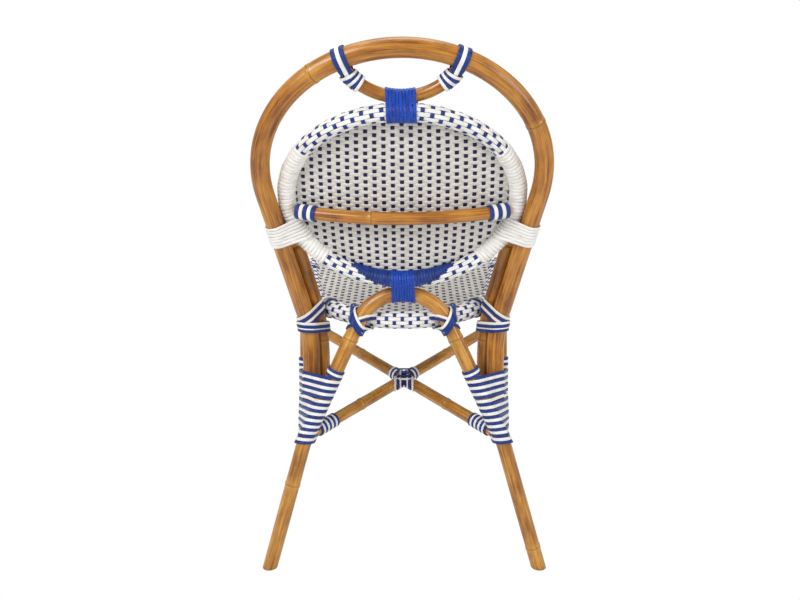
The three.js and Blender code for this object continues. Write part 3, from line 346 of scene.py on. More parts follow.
def brace_path():
    """Beside the post, a turn round it toward the seat."""
    angle = radians(BRACE_TURN)
    distance = ARCH_R + BRACE_R + NODE_SWELL + 2 * CLEARANCE
    points = []
    for i in range(BRACE_STEPS + 1):
        z = BRACE_LOW + (BRACE_HIGH - BRACE_LOW) * i / BRACE_STEPS
        point, run = at_height(left_arch, z)
        inward = unit(vec(-1, 0, 0) + run * run[0])
        forward = toward(IN_FRONT, np.cross(run, inward))
        points.append(point + inward * distance * cos(angle) + forward * distance * sin(angle))
    return np.array(points)


brace = resample(softened(brace_path()))

REAR_H, FRONT_H, SETBACK = 243, 292, 17
stretcher_rear = vec(hoop_leg_w(REAR_H), hoop_back(REAR_H), REAR_H)
side_top = vec(SIDE_FRONT_W, SIDE_FRONT_BACK, SIDE_Z)
front_foot = vec(FRONT_FOOT_W, FRONT_FOOT_BACK, 0)
stretcher_front = mirror(side_top + (front_foot - side_top) * (SIDE_Z - FRONT_H) / SIDE_Z)
stretcher_run = unit(stretcher_front - stretcher_rear)


def along_stretcher(distance):
    return stretcher_rear + stretcher_run * distance


stretcher_length = np.linalg.norm(stretcher_front - stretcher_rear)
stretcher_cross = along_stretcher(-stretcher_rear[0] / stretcher_run[0])
stretcher = resample(np.array([along_stretcher(SETBACK), stretcher_front]))

HANDLE_SPAN, HANDLE_DEPTH = 90, 50
top_of_oval = on_oval(0, oval_rise)
from_knee = top_of_oval - in_arch_plane(0, 0)
off_plane = from_knee[1] * cos(arch_lean) - from_knee[2] * sin(arch_lean)
handle_bottom = from_knee[1] * sin(arch_lean) + from_knee[2] * cos(arch_lean) + sqrt(
    (BACK_RIM_R + HANDLE_R + CLEARANCE) ** 2 - off_plane ** 2)
handle_r = (HANDLE_SPAN ** 2 + HANDLE_DEPTH ** 2) / (2 * HANDLE_DEPTH)
handle_sweep = asin(HANDLE_SPAN / handle_r)


def handle_at(angle):
    return in_arch_plane(handle_r * sin(angle), handle_bottom + handle_r * (1 - cos(angle)))


handle = resample(np.array([handle_at(handle_sweep * share) for share in np.linspace(1, -1, 81)]))

CROSSBAR_HALF, CROSSBAR_H, CROSSBAR_SAG = 172, 640, 7
standoff = BACK_PANEL_THICK / 2 + wound_radius(CROSSBAR_R) + CLEARANCE - BACK_FORWARD
bar_share = np.linspace(-1, 1, 61)
crossbar = resample(on_oval(
    -bar_share * CROSSBAR_HALF,
    (CROSSBAR_H + CROSSBAR_SAG * bar_share ** 2 - oval_bottom_h) / cos(oval_lean) - oval_rise,
    -standoff))

# Meshes


def new_object(name, data):
    obj = bpy.data.objects.new(name, data)
    bpy.context.scene.collection.objects.link(obj)
    return obj


class Sheaf:
    """Strips and tubes gathered into one mesh, each point with where it lies along its strand."""

    def __init__(self):
        self.verts, self.lays, self.knuckles, self.faces, self.kinds = [], [], [], [], []

    def add(self, rings, lays, kind=0, closed=False, knuckles=None):
        n, m = rings.shape[:2]
        base = sum(map(len, self.verts)) + np.arange(n * m).reshape(n, m)
        following = np.roll(base, -1, axis=0) if closed else base[1:]
        start = base if closed else base[:-1]
        a, b = start, np.roll(start, -1, axis=1)
        c, d = np.roll(following, -1, axis=1), following
        faces = np.stack([a, b, c, d], axis=2).reshape(-1, 4).tolist()
        if not closed:
            faces += [base[0][::-1].tolist(), base[-1].tolist()]
        self.verts.append(rings.reshape(-1, 3))
        self.lays.append(lays.reshape(-1, 3))
        self.knuckles.append(np.full(n * m, 99.0) if knuckles is None else np.repeat(knuckles, m))
        self.faces += faces
        self.kinds += [kind] * len(faces)

    def mirrored(self):
        other = Sheaf()
        other.verts = [mirror(v) for v in self.verts]
        other.faces = [f[::-1] for f in self.faces]
        other.lays, other.knuckles, other.kinds = self.lays, self.knuckles, self.kinds
        return other

    def build(self, name, materials, *nodes, slot="woven_strand"):
        mesh = bpy.data.meshes.new(name)
        verts = np.concatenate(self.verts) * MM
        mesh.from_pydata(verts.tolist(), [], self.faces)
        for look in materials:
            mesh.materials.append(look)
        mesh.polygons.foreach_set("material_index", np.array(self.kinds, np.int32))
        mesh.polygons.foreach_set("use_smooth", np.ones(len(self.faces), bool))
        lay = mesh.attributes.new("lay", "FLOAT_VECTOR", "POINT")
        lay.data.foreach_set("vector", np.concatenate(self.lays).astype(np.float32).ravel())
        knuckle = mesh.attributes.new("knuckle", "FLOAT", "POINT")
        knuckle.data.foreach_set("value", np.concatenate(self.knuckles).astype(np.float32))
        mesh.update()
        obj = new_object(name, mesh)
        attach(obj, "root")
        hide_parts(*nodes)


# A strand's section, and a cane's: its swell and groove at a node, and how it wanders between them
SECTION_STEPS, EDGE_POWER, FACE_POWER = 12, 0.55, 0.75
SWELL_REACH, SWELL_STEP, SWELL_SPREAD = 10, 0.6, 3.2
GROOVE_DEPTH, GROOVE_PLACE, GROOVE_SPREAD = 0.3, 0.2, 0.8
WANDER, LONG_WAVE, SHORT_WAVE, OUT_OF_ROUND = 0.012, 37, 17, 0.008
SEED_STEP, GRAIN_SHIFT = 1.37, 613
section_angle = tau * (np.arange(SECTION_STEPS) + 0.5) / SECTION_STEPS
section_wide, section_thick = (
    np.sign(wave) * np.abs(wave) ** power
    for wave, power in ((np.cos(section_angle), EDGE_POWER), (np.sin(section_angle), FACE_POWER)))
seeds = [0.0]


def next_seed():
    seeds[0] += SEED_STEP
    return seeds[0]


def tangents_of(points, closed=False):
    if closed:
        return unit(np.roll(points, -1, axis=0) - np.roll(points, 1, axis=0))
    return unit(np.gradient(points, axis=0))


def strip(sheaf, points, faces, width, kind=0, thick=THICK, closed=False):
    """A flat strand with rounded edges along a row of points, its faces looking a given way."""
    points = np.asarray(points, float)
    run = tangents_of(points, closed)
    across = unit(np.cross(faces, run))
    out = np.cross(run, across)
    rings = (points[:, None]
             + across[:, None] * (section_wide * width / 2)[None, :, None]
             + out[:, None] * (section_thick * thick / 2)[None, :, None])
    lengths = lengths_of(points)
    lays = np.stack(np.broadcast_arrays(
        (section_wide * width / 2)[None], lengths[:, None], np.array([[next_seed()]])), axis=2)
    sheaf.add(rings[:, ::-1], lays[:, ::-1], kind, closed)


def tube(sheaf, points, radius, node_shares, sides, flat_feet):
    """A cane: round, a little uneven, with a growth ring at each node."""
    lengths = lengths_of(points)
    knots = np.array(node_shares) * lengths[-1]
    extra = np.concatenate([k + np.arange(-SWELL_REACH, SWELL_REACH + 0.1, SWELL_STEP) for k in knots])
    at = np.unique(np.concatenate([lengths, extra[(extra > 0) & (extra < lengths[-1])]]))
    points = along(points, lengths, at)
    run = tangents_of(points)
    guide = -IN_FRONT if abs(run[0][1]) < sqrt(0.5) else ACROSS
    side = unit(np.cross(guide, run[0]))
    carried = []
    for t in run:
        side = unit(side - t * (side @ t))
        carried.append(side)
    side = np.array(carried)
    other = np.cross(run, side)
    offset = at[:, None] - knots[None]
    near = offset[np.arange(len(at)), np.abs(offset).argmin(axis=1)]
    seed = next_seed()
    swell = (NODE_SWELL * np.exp(-(near / SWELL_SPREAD) ** 2)
             - GROOVE_DEPTH * np.exp(-((near - GROOVE_PLACE) / GROOVE_SPREAD) ** 2))
    uneven = np.sin(at / LONG_WAVE + seed * 3) + 0.6 * np.sin(at / SHORT_WAVE + seed * 7)
    angle = tau * np.arange(sides) / sides
    radii = (radius + swell - WANDER * radius * (1 + uneven / 1.6) / 2)[:, None] * (
        1 - OUT_OF_ROUND * (1 + np.cos(2 * angle + seed))[None])
    rings = (points[:, None]
             + side[:, None] * (radii * np.cos(angle))[..., None]
             + other[:, None] * (radii * np.sin(angle))[..., None])
    if flat_feet:
        for i in (0, len(at) - 1):
            if abs(points[i][2]) < 0.01:
                rings[i] -= run[i] * (rings[i][:, 2] / run[i][2])[:, None]
    lays = np.stack(np.broadcast_arrays(
        radius * np.cos(angle)[None], radius * np.sin(angle)[None],
        (at + GRAIN_SHIFT * seed)[:, None]), axis=2)
    sheaf.add(rings, lays, knuckles=near)


# Windings

# How far from a winding's middle a cane still counts
REACH = 90

# A middle line and a radius, for strands to go round
Cane = namedtuple("Cane", "points radius")
# Where a winding goes: from and to, the way its plane faces at each end, and where its turns begin
Course = namedtuple("Course", "start end first last guide")


def straight(middle, run, length):
    return Course(middle - run * length / 2, middle + run * length / 2, run, run, IN_FRONT)


def band_on(cane, origin, normal, facing, lift):
    """Where a strand in one plane lies on one cane, facing one way, and how far out that is."""
    hit = crossing(cane.points, origin, normal)
    if hit is None or hit[2] > REACH:
        return None
    centre, run, _ = hit
    across = run @ normal
    if abs(across) < 0.1:
        return None
    out = unit(facing - normal * (facing @ run) / across)
    distance = cane.radius + lift
    point = centre + out * distance - run * distance * (out @ normal) / across
    return point, out, (point - origin) @ facing


def laid(canes, course, shares, angles, lead, lift):
    """A strand's points and faces, each facing an angle round the course and a share along it."""
    points, faces, marks, carrier = [], [], [], None
    for share, angle in zip(shares, angles):
        normal = unit(course.first * (1 - share) + course.last * share)
        origin = course.start * (1 - share) + course.end * share + normal * lead
        zero = unit(course.guide - normal * (course.guide @ normal))
        facing = turned(zero, normal, angle)
        best = None
        for cane in canes:
            band = band_on(cane, origin, normal, facing, lift)
            if band and (best is None or band[2] > best[0][2]):
                best = (band, cane)
        if best is None:
            marks.append(max(0, len(points) - 1))
            continue
        (point, out, _), cane = best
        if carrier is not None and cane is not carrier:
            before, face = points[-1], faces[-1]
            pieces = int(np.linalg.norm(point - before) // PATH_STEP) + 1
            for k in range(1, pieces):
                s = k / pieces
                points.append(before * (1 - s) + point * s)
                faces.append(unit(face * (1 - s) + out * s))
        points.append(point)
        faces.append(out)
        marks.append(len(points) - 1)
        carrier = cane
    return np.array(points), np.array(faces), marks


def wound(canes, course, turns, span=None, lead=0.0, lift=MID_LIFT, steps=36):
    """Points and faces of a strand wound tightly round canes, gaining evenly along its length."""
    count = max(2, int(round(turns * steps)))
    whole = np.linspace(0, turns, count + 1)
    points, _, marks = laid(canes, course, whole / turns, tau * whole, 0.0, lift)
    length = lengths_of(points)[marks]
    starts = np.append(np.arange(0, count, steps), count)
    gained = whole.copy()
    for a, b in zip(starts[:-1], starts[1:]):
        part = (length[a:b + 1] - length[a]) / max(length[b] - length[a], 1e-6)
        gained[a:b + 1] = whole[a] + part * (whole[b] - whole[a])
    first, last = span or (0.0, turns)
    turn = np.linspace(first, last, max(2, int(round((last - first) * steps))) + 1)
    shares = np.interp(turn, whole, gained) / turns
    return laid(canes, course, shares, tau * turn, lead, lift)[:2]


# Materials


def material(name):
    mat = bpy.data.materials.new(name)
    mat.use_nodes = True
    tree = mat.node_tree
    return mat, tree, tree.nodes["Principled BSDF"]


def feed(tree, made, inputs):
    """Gives a node's inputs their values or links."""
    for key, value in inputs.items():
        if isinstance(value, bpy.types.NodeSocket):
            tree.links.new(value, made.inputs[key])
        else:
            made.inputs[key].default_value = value
    return made


def node(tree, kind, inputs=None, **settings):
    made = tree.nodes.new(kind)
    for key, value in settings.items():
        setattr(made, key, value)
    return feed(tree, made, inputs or {})


def maths(tree, operation, *values):
    return node(tree, "ShaderNodeMath", dict(enumerate(values)), operation=operation).outputs[0]


def noise_at(tree, coords, stretch, detail, roughness=0.55):
    scaled = node(tree, "ShaderNodeVectorMath", {0: coords, 1: stretch}, operation="MULTIPLY").outputs[0]
    return node(tree, "ShaderNodeTexNoise", {
        "Vector": scaled, "Scale": 1, "Detail": detail, "Roughness": roughness}).outputs[0]


def ramp(tree, value, stops):
    made = node(tree, "ShaderNodeValToRGB", {"Fac": value})
    elements = made.color_ramp.elements
    while len(elements) < len(stops):
        elements.new(0.5)
    for element, (place, colour) in zip(elements, stops):
        element.position = place
        element.color = (*colour, 1.0)
    return made.outputs["Color"]


def shaded(colour, share):
    return tuple(min(1.0, share * c) for c in colour)


def mix(tree, fac, base, layer):
    return node(tree, "ShaderNodeMix", {0: fac, 6: base, 7: (*layer, 1.0)}, data_type="RGBA").outputs[2]


def span_of(tree, value, low, high, to_low=0.0, to_high=1.0, smooth=False):
    return node(tree, "ShaderNodeMapRange", {
        "Value": value, "From Min": low, "From Max": high, "To Min": to_low, "To Max": to_high,
    }, interpolation_type="SMOOTHSTEP" if smooth else "LINEAR").outputs["Result"]


def cane_material(name, deep, mid, light, roughness, marks):
    """Varnished rattan: long fibres, mottling, dark flecks and a ring at each growth node."""
    mat, tree, shader = material(name)
    lay = node(tree, "ShaderNodeAttribute", attribute_name="lay").outputs["Vector"]
    fibre = noise_at(tree, lay, (0.95, 0.95, 0.022), 5.0)
    streak = noise_at(tree, lay, (0.28, 0.28, 0.008), 3.0)
    mottle = noise_at(tree, lay, (0.045, 0.045, 0.017), 4.0)
    tone = maths(tree, "ADD", maths(tree, "ADD", fibre, streak), mottle)
    colour = ramp(tree, span_of(tree, tone, 1.2, 1.85), [(0.0, deep), (0.5, mid), (1.0, light)])
    fleck = noise_at(tree, lay, (0.33, 0.33, 0.05), 3.0, 0.7)
    fleck_mask = span_of(tree, fleck, 0.66, 0.76, 0.0, marks, smooth=True)
    colour = mix(tree, fleck_mask, colour, shaded(deep, 0.33))
    knuckle = node(tree, "ShaderNodeAttribute", attribute_name="knuckle").outputs["Fac"]
    wobble = noise_at(tree, lay, (0.16, 0.16, 0.05), 2.0)
    shifted = maths(tree, "MULTIPLY_ADD", wobble, 3.2, -1.6)
    away = maths(tree, "ABSOLUTE", maths(tree, "ADD", knuckle, shifted))
    halo = span_of(tree, away, 13.0, 1.5, 0.0, 0.22, smooth=True)
    colour = mix(tree, halo, colour, shaded(light, 1.12))
    ring = span_of(tree, away, 1.5, 0.2, 0.0, 0.55, smooth=True)
    bump = node(tree, "ShaderNodeBump", {"Height": fibre, "Strength": 0.25, "Distance": 0.0006})
    feed(tree, shader, {
        "Base Color": mix(tree, ring, colour, shaded(deep, 0.4)),
        "Roughness": span_of(tree, mottle, 0.3, 0.7, roughness - 0.06, roughness + 0.1),
        "Coat Weight": 0.2, "Coat Roughness": 0.18, "Specular IOR Level": 0.5, "Normal": bump.outputs[0]})
    return mat


# How many ridges a strand has in a millimetre of its width
RIDGES = 1.5


def strand_material(name, colour, shade, roughness):
    """Extruded strand: fine ridges along it and a soft change of tone."""
    mat, tree, shader = material(name)
    lay = node(tree, "ShaderNodeAttribute", attribute_name="lay").outputs["Vector"]
    parts = node(tree, "ShaderNodeSeparateXYZ", {0: lay})
    tone = noise_at(tree, lay, (0.12, 0.045, 1.9), 3.0)
    fine = noise_at(tree, lay, (2.2, 0.06, 1.1), 2.0)
    base = ramp(tree, span_of(tree, maths(tree, "ADD", tone, fine), 0.72, 1.3),
                [(0.0, shade), (0.55, colour), (1.0, shaded(colour, 1.08))])
    wave = maths(tree, "COSINE", maths(tree, "MULTIPLY", parts.outputs[0], RIDGES * tau))
    bump = node(tree, "ShaderNodeBump",
                {"Height": maths(tree, "ADD", wave, fine), "Strength": 0.3, "Distance": 0.0002})
    feed(tree, shader, {
        "Base Color": base, "Roughness": roughness, "Specular IOR Level": 0.3, "Normal": bump.outputs[0]})
    return mat


honey_look = cane_material(
    "honey_cane_look", (0.17, 0.046, 0.003), (0.43, 0.165, 0.015), (0.62, 0.3, 0.042), 0.3, 0.7)
tan_look = cane_material(
    "tan_cane_look", (0.21, 0.066, 0.005), (0.47, 0.2, 0.024), (0.68, 0.37, 0.07), 0.32, 0.65)
white = strand_material("white_strand_look", (0.88, 0.87, 0.84), (0.72, 0.69, 0.64), 0.3)
blue = strand_material("blue_strand_look", (0.012, 0.043, 0.235), (0.005, 0.017, 0.11), 0.34)
royal = strand_material("centre_binding_look", (0.008, 0.062, 0.43), (0.004, 0.028, 0.21), 0.32)
# Painted shade: the panels' white is a darker, beiger copy of the white strand, standing in for the light the
# woven panels miss
panel_white_painted_shade = strand_material("panel_white_look", (0.69, 0.66, 0.62), (0.5, 0.47, 0.43), 0.36)
# Painted shade: the panels' navy is a much darker copy of the blue strand, for the shade in the recesses of
# the weave
panel_navy_painted_shade = strand_material("panel_navy_look", (0.004, 0.007, 0.05), (0.002, 0.004, 0.028), 0.45)

# Canes

for name in ("backrest_frame", "seat_frame"):
    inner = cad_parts[name].data
    inner.materials.clear()
    inner.materials.append(honey_look)


def pair(sheaf, name, materials, *nodes, slot="woven_strand"):
    sheaf.build(f"{name}_left", materials, *[f"{n}_left" for n in nodes], slot=slot)
    sheaf.mirrored().build(f"{name}_right", materials, *[f"{n}_right" for n in nodes], slot=slot)


def cane(name, node_name, slot, path, radius, node_shares, sides=28, flat_feet=False, put=Sheaf.build):
    sheaf = Sheaf()
    tube(sheaf, path, radius, node_shares, sides, flat_feet)
    put(sheaf, name, [honey_look if slot == "honey_cane" else tan_look], node_name, slot=slot)


cane("arch_cane", "back_arch", "honey_cane", arch, ARCH_R, (0.414, 0.653), 36)
cane("rear_hoop_cane", "rear_leg_hoop", "tan_cane", hoop, HOOP_R, (0.142, 0.388, 0.612, 0.965), 32, True)
cane("side_hoop_cane", "side_hoop", "tan_cane", side_hoop, SIDE_R, (0.34, 0.74, 0.92), 32, True, pair)
cane("brace", "brace_cane", "honey_cane", brace, BRACE_R, (0.34,), 30, put=pair)
for side, path in (("left", stretcher), ("right", mirror(stretcher))):
    cane(f"stretcher_cane_{side}", f"stretcher_{side}", "tan_cane", path, STRETCHER_R, (0.22, 0.68))
cane("hand_hold_cane", "top_handle", "honey_cane", handle[1:-1], HANDLE_R, (0.4,))
cane("crossbar_cane", "back_crossbar", "honey_cane", crossbar[1:-1], CROSSBAR_R, (0.36,))

# Woven panels

ROW_PITCH, COLUMN_PITCH = 6.1, 14.6
ROW_WIDTH, COLUMN_WIDTH = 5.75, 6.5
SEAT_ROW_PITCH, SEAT_COLUMN_PITCH = 8.5, 12.5
SEAT_ROW_WIDTH, SEAT_COLUMN_WIDTH = 8, 6
ROW_THICK, COLUMN_THICK = 1.5, 1.2
ROW_STEP, COLUMN_STEP = 2.4, 1.5
SWING, SHARPNESS = 0.75, 2.2
BACK_EDGE, SEAT_EDGE = 11.6, 9.5
COLUMN_BOW = 0.06
SEAT_SUNK, SEAT_SAG, SAG_MIDDLE, SAG_REACH = 6.5, 3, -34.5, 190


def back_panel():
    sheaf = Sheaf()
    half_w, half_r = OVAL_W - BACK_EDGE, oval_rise - BACK_EDGE
    rows = int(half_r / ROW_PITCH)
    for i in range(-rows, rows + 1):
        rise = i * ROW_PITCH
        reach = half_w * sqrt(max(0.0, 1 - (rise / half_r) ** 2))
        if reach < 8:
            continue
        x = np.linspace(-reach, reach, max(5, int(2 * reach / ROW_STEP)))
        column = x / (COLUMN_PITCH * (1 - COLUMN_BOW * (rise / oval_rise) ** 2))
        swing = -SWING * np.cos(pi * (column + i))
        strip(sheaf, on_oval(x, rise, BACK_FORWARD + swing), -oval_forward(x), ROW_WIDTH, 0, ROW_THICK)
    columns = int(half_w / COLUMN_PITCH)
    for k in range(-columns, columns + 1):
        rise = np.arange(-half_r, half_r, COLUMN_STEP)
        x = k * COLUMN_PITCH * (1 - COLUMN_BOW * (rise / oval_rise) ** 2)
        inside = (x / half_w) ** 2 + (rise / half_r) ** 2 < 1
        x, rise = x[inside], rise[inside]
        swing = SWING * np.tanh(SHARPNESS * np.cos(pi * (rise / ROW_PITCH + k)))
        strip(sheaf, on_oval(x, rise, BACK_FORWARD + swing), -oval_forward(x), COLUMN_WIDTH, 1, COLUMN_THICK)
    sheaf.build("back_panel_weave", [panel_white_painted_shade, panel_navy_painted_shade], "backrest_panel")


def inset_outline(ring, inset):
    """The outline of a flat ring, drawn in by a distance."""
    p = ring[:-1, :2]
    run = tangents_of(p, True)
    return p + np.stack([-run[:, 1], run[:, 0]], axis=1) * inset


def reach_at(outline, axis, value):
    """The least and greatest of the other coordinate where an outline meets a line."""
    a, b = outline, np.roll(outline, -1, axis=0)
    hits = (a[:, axis] - value) * (b[:, axis] - value) <= 0
    a, b = a[hits], b[hits]
    gap = b[:, axis] - a[:, axis]
    share = np.where(gap == 0, 0, (value - a[:, axis]) / np.where(gap == 0, 1, gap))
    other = a[:, 1 - axis] + (b[:, 1 - axis] - a[:, 1 - axis]) * share
    return (other.min(), other.max()) if len(other) else None


def seat_panel():
    sheaf = Sheaf()
    outline = inset_outline(seat_ring, SEAT_EDGE)
    low, high = outline.min(axis=0), outline.max(axis=0)

    def height(x, y):
        share = np.clip(np.hypot(x, y - SAG_MIDDLE) / SAG_REACH, 0, 1)
        return SEAT_HEIGHT - SEAT_SUNK - SEAT_SAG * (1 - share ** 2)

    def lay_strand(x, y, swing, *how):
        x, y = np.broadcast_arrays(x, y)
        strip(sheaf, np.stack([x, y, height(x, y) + swing], axis=1), np.tile(UP, (len(x), 1)), *how)

    for i in range(ceil(low[1] / SEAT_ROW_PITCH), int(high[1] / SEAT_ROW_PITCH) + 1):
        y = i * SEAT_ROW_PITCH
        ends = reach_at(outline, 1, y)
        if ends is None or ends[1] - ends[0] < 12:
            continue
        x = np.linspace(ends[0], ends[1], max(5, int((ends[1] - ends[0]) / ROW_STEP)))
        swing = SWING * np.cos(pi * (x / SEAT_COLUMN_PITCH + i))
        lay_strand(x, y, swing, SEAT_ROW_WIDTH, 0, ROW_THICK)
    for k in range(ceil(low[0] / SEAT_COLUMN_PITCH), int(high[0] / SEAT_COLUMN_PITCH) + 1):
        x = k * SEAT_COLUMN_PITCH
        ends = reach_at(outline, 0, x)
        if ends is None or abs(x) > high[0] - SEAT_COLUMN_WIDTH:
            continue
        y = np.arange(ends[0], ends[1], COLUMN_STEP)
        swing = -SWING * np.tanh(SHARPNESS * np.cos(pi * (y / SEAT_ROW_PITCH + k)))
        lay_strand(x, y, swing, SEAT_COLUMN_WIDTH, 1, COLUMN_THICK)
    sheaf.build("seat_panel_weave", [panel_white_painted_shade, panel_navy_painted_shade], "seat_panel")


back_panel()
seat_panel()

# Woven rims


class Rim:
    """A round rim along a closed ring: points by distance along it, turn and radius."""

    def __init__(self, ring, up_at):
        loop = ring[:-1]
        run = tangents_of(loop, True)
        up = np.array([up_at(p) for p in loop])
        up = unit(up - run * (up * run).sum(axis=1, keepdims=True))
        inward = np.cross(up, run)
        self.at = lengths_of(ring)
        self.length = self.at[-1]
        self.centre, self.up, self.inward = (np.concatenate([a, a[:1]]) for a in (loop, up, inward))

    def __call__(self, s, phi, radius):
        s = np.mod(s, self.length)
        centre, up, inward = (along(a, self.at, s) for a in (self.centre, self.up, self.inward))
        normal = inward * np.cos(phi)[..., None] + up * np.sin(phi)[..., None]
        return centre + normal * np.asarray(radius)[..., None], unit(normal)


RIM_SWING, ALONG_THICK, ROUND_THICK, FIRST_ROW = 0.85, 1.7, 1.3, 0.3
CHECK_STEP, END_DIP, DIP_LENGTH, SNUG = 2.2, 2.2, 3.5, 0.95
RIB_PITCH, RIB_THICK, RIB_PROUD, RIB_UNEVEN, RIB_WAVE = 6.4, 3, 0.5, 0.25, 5.1


def checks(sheaf, rim, start, end, outer, rows, pitch, width, closed=False):
    """Strands along the rim, woven over and under bands that go round it."""
    middle = outer - ALONG_THICK / 2 - RIM_SWING
    centre = (start + end) / 2
    s = np.linspace(start, end, int((end - start) / CHECK_STEP), endpoint=not closed)
    dip = 0 if closed else END_DIP * np.exp(-np.minimum(s - start, end - s) / DIP_LENGTH)
    for k in range(rows):
        phi = np.full_like(s, tau * k / rows + FIRST_ROW)
        radius = middle + RIM_SWING * np.cos(pi * ((s - centre) / pitch + k)) - dip
        points, normals = rim(s, phi, radius)
        strip(sheaf, points, normals, tau * middle / rows * SNUG, 0, ALONG_THICK, closed)
    first, last = ceil((start - centre) / pitch), int(np.floor((end - centre) / pitch))
    phi = np.arange(0, tau - 1e-6, tau / (rows * 7))
    for j in range(first + closed, last + 1):
        turn = (phi - FIRST_ROW) * rows / tau
        radius = middle - RIM_SWING * np.tanh(2 * np.cos(pi * (turn + j)))
        points, normals = rim(np.full_like(phi, centre + j * pitch), phi, radius)
        strip(sheaf, points, normals, width, 1, ROUND_THICK, closed=True)


def ribs(sheaf, rim, start, end, outer):
    """One strand wound side by side round a rim."""
    turns = (end - start) / RIB_PITCH
    t = np.linspace(0, 1, int(turns * 24))
    radius = outer - RIB_THICK / 2 + RIB_UNEVEN * np.sin(RIB_WAVE * turns * t)
    points, normals = rim(start + (end - start) * t, tau * turns * t, radius)
    strip(sheaf, points, normals, RIB_PITCH * SNUG, 0, RIB_THICK)


def place_on(ring, target):
    return lengths_of(ring)[np.linalg.norm(ring[:-1] - target, axis=1).argmin()]


back_rim = Rim(oval, lambda p: oval_forward(p[0]))
seat_rim = Rim(seat_ring, lambda p: UP)


def oval_place(degrees):
    angle = radians(degrees)
    return place_on(oval, on_oval(OVAL_W * cos(angle), oval_rise * sin(angle)))


BACK_RIM_ROWS, BACK_BAND_WIDTH = 12, 6.4
sheaf = Sheaf()
# Checks and ribs, each from one place to another in degrees round the oval
for start, end in ((33, 147), (226, 314)):
    checks(sheaf, back_rim, oval_place(start), oval_place(end), BACK_RIM_R, BACK_RIM_ROWS, COLUMN_PITCH,
           BACK_BAND_WIDTH)
for start, end, around in ((145, 228, 0), (312, 35, back_rim.length)):
    ribs(sheaf, back_rim, oval_place(start), around + oval_place(end), BACK_RIM_R + RIB_PROUD)
sheaf.build("back_rim_strands", [white, blue], "backrest_rim_weave")

SEAT_RIM_ROWS = 13
sheaf = Sheaf()
rear_middle = place_on(seat_ring, vec(0, SEAT_CENTRE + SEAT_REAR_R, SEAT_FRAME_Z))
seat_bands = 2 * round(seat_rim.length / SEAT_COLUMN_PITCH / 2)
checks(sheaf, seat_rim, rear_middle - seat_rim.length / 2, rear_middle + seat_rim.length / 2,
       SEAT_RIM_R, SEAT_RIM_ROWS, seat_rim.length / seat_bands, SEAT_COLUMN_WIDTH, closed=True)
sheaf.build("seat_rim_strands", [white, blue], "seat_rim_weave")

# Bindings

TAIL_STUB, STUB_REACH = 5.15, 60
BAND_WIDTH, BAND_PITCH = 4.7, 5


def with_tail(path):
    """A path with a little more before its start, for the strand that goes round its end."""
    return np.concatenate([[path[0] + unit(path[0] - path[1]) * TAIL_STUB], path])


arch_cane = Cane(with_tail(left_arch), ARCH_R)
hoop_cane = Cane(left_hoop, HOOP_R)
whole_hoop = Cane(hoop, HOOP_R)
side_cane = Cane(with_tail(side_hoop), SIDE_R)
brace_cane = Cane(with_tail(brace), BRACE_R)
seat_cane = Cane(seat_ring, SEAT_RIM_R)
oval_cane = Cane(oval, BACK_RIM_R)
handle_cane = Cane(handle, HANDLE_R)
stretcher_cane = Cane(stretcher, STRETCHER_R)
other_stretcher = Cane(mirror(stretcher), STRETCHER_R)


def over(canes, more):
    return [Cane(cane.points, cane.radius + more) for cane in canes]


def band(sheaf, canes, origin, normal, kind=0, width=BAND_WIDTH, guide=IN_FRONT, lift=MID_LIFT, thick=THICK):
    """One closed band of strand round canes, in one plane."""
    normal = unit(normal)
    points, faces = wound(canes, Course(origin, origin, normal, normal, guide), 1.0, lift=lift, steps=44)
    strip(sheaf, points[:-1], faces[:-1], width, kind, thick, closed=True)


def bands(name, canes, place, kinds, guide=IN_FRONT, pitch=BAND_PITCH):
    """Closed bands side by side along a cane, white for 0 and blue for 1."""
    sheaf = Sheaf()
    middle, run = place
    for i, kind in enumerate(kinds):
        band(sheaf, canes, middle + run * (i - (len(kinds) - 1) / 2) * pitch, run, kind, guide=guide)
    pair(sheaf, f"{name}_strand", [white, blue], name)


def two_strands(name, canes, middle, run, blues, whites, guide=IN_FRONT):
    """A blue and a white strand, each a piece: the offset and width of each of its bands."""
    for colour, look, places in (("blue", blue, blues), ("white", white, whites)):
        sheaf = Sheaf()
        for offset, width in places:
            band(sheaf, canes, middle + run * offset, run, width=width, guide=guide)
        pair(sheaf, f"{name}_{colour}_strand", [look], f"{name}_{colour}")


def winding(name, canes, course, turns, width, put, look, node_name, ends=(0.0, 0.0), lead=0.0, thick=THICK):
    """One strand wound along a course, with so many turns left out at its ends."""
    sheaf = Sheaf()
    points, faces = wound(canes, course, turns, (ends[0], turns - ends[1]), lead, LIFT + thick / 2)
    strip(sheaf, points, faces, width, 0, thick)
    put(sheaf, f"{name}_strand", [look], node_name)


WRAP_TURNS, WRAP_LOW, WRAP_HIGH, WRAP_WIDTH = 10.6, 227, 344, 0.47
WRAP_SLOPE, WRAP_LEANS = 0.33, (10, 11)
wrap_top = (at_height(left_arch, WRAP_HIGH)[0] + at_height(left_hoop, WRAP_HIGH)[0]) / 2
wrap_foot = at_height(left_hoop, WRAP_LOW)[0]
wrap_normals = [unit(vec(-tan(radians(lean)), -WRAP_SLOPE, 1)) for lean in WRAP_LEANS]
wrap_course = Course(wrap_foot, wrap_top, *wrap_normals, vec(-1, -1, 0))
wrap_pitch = np.linalg.norm(wrap_course.end - wrap_course.start) / WRAP_TURNS
wrap_width = WRAP_WIDTH * wrap_pitch
side_end, arch_end = side_hoop[0], left_arch[0]
below_side = (side_end + arch_end) / 2 + vec(7, 0, -22)
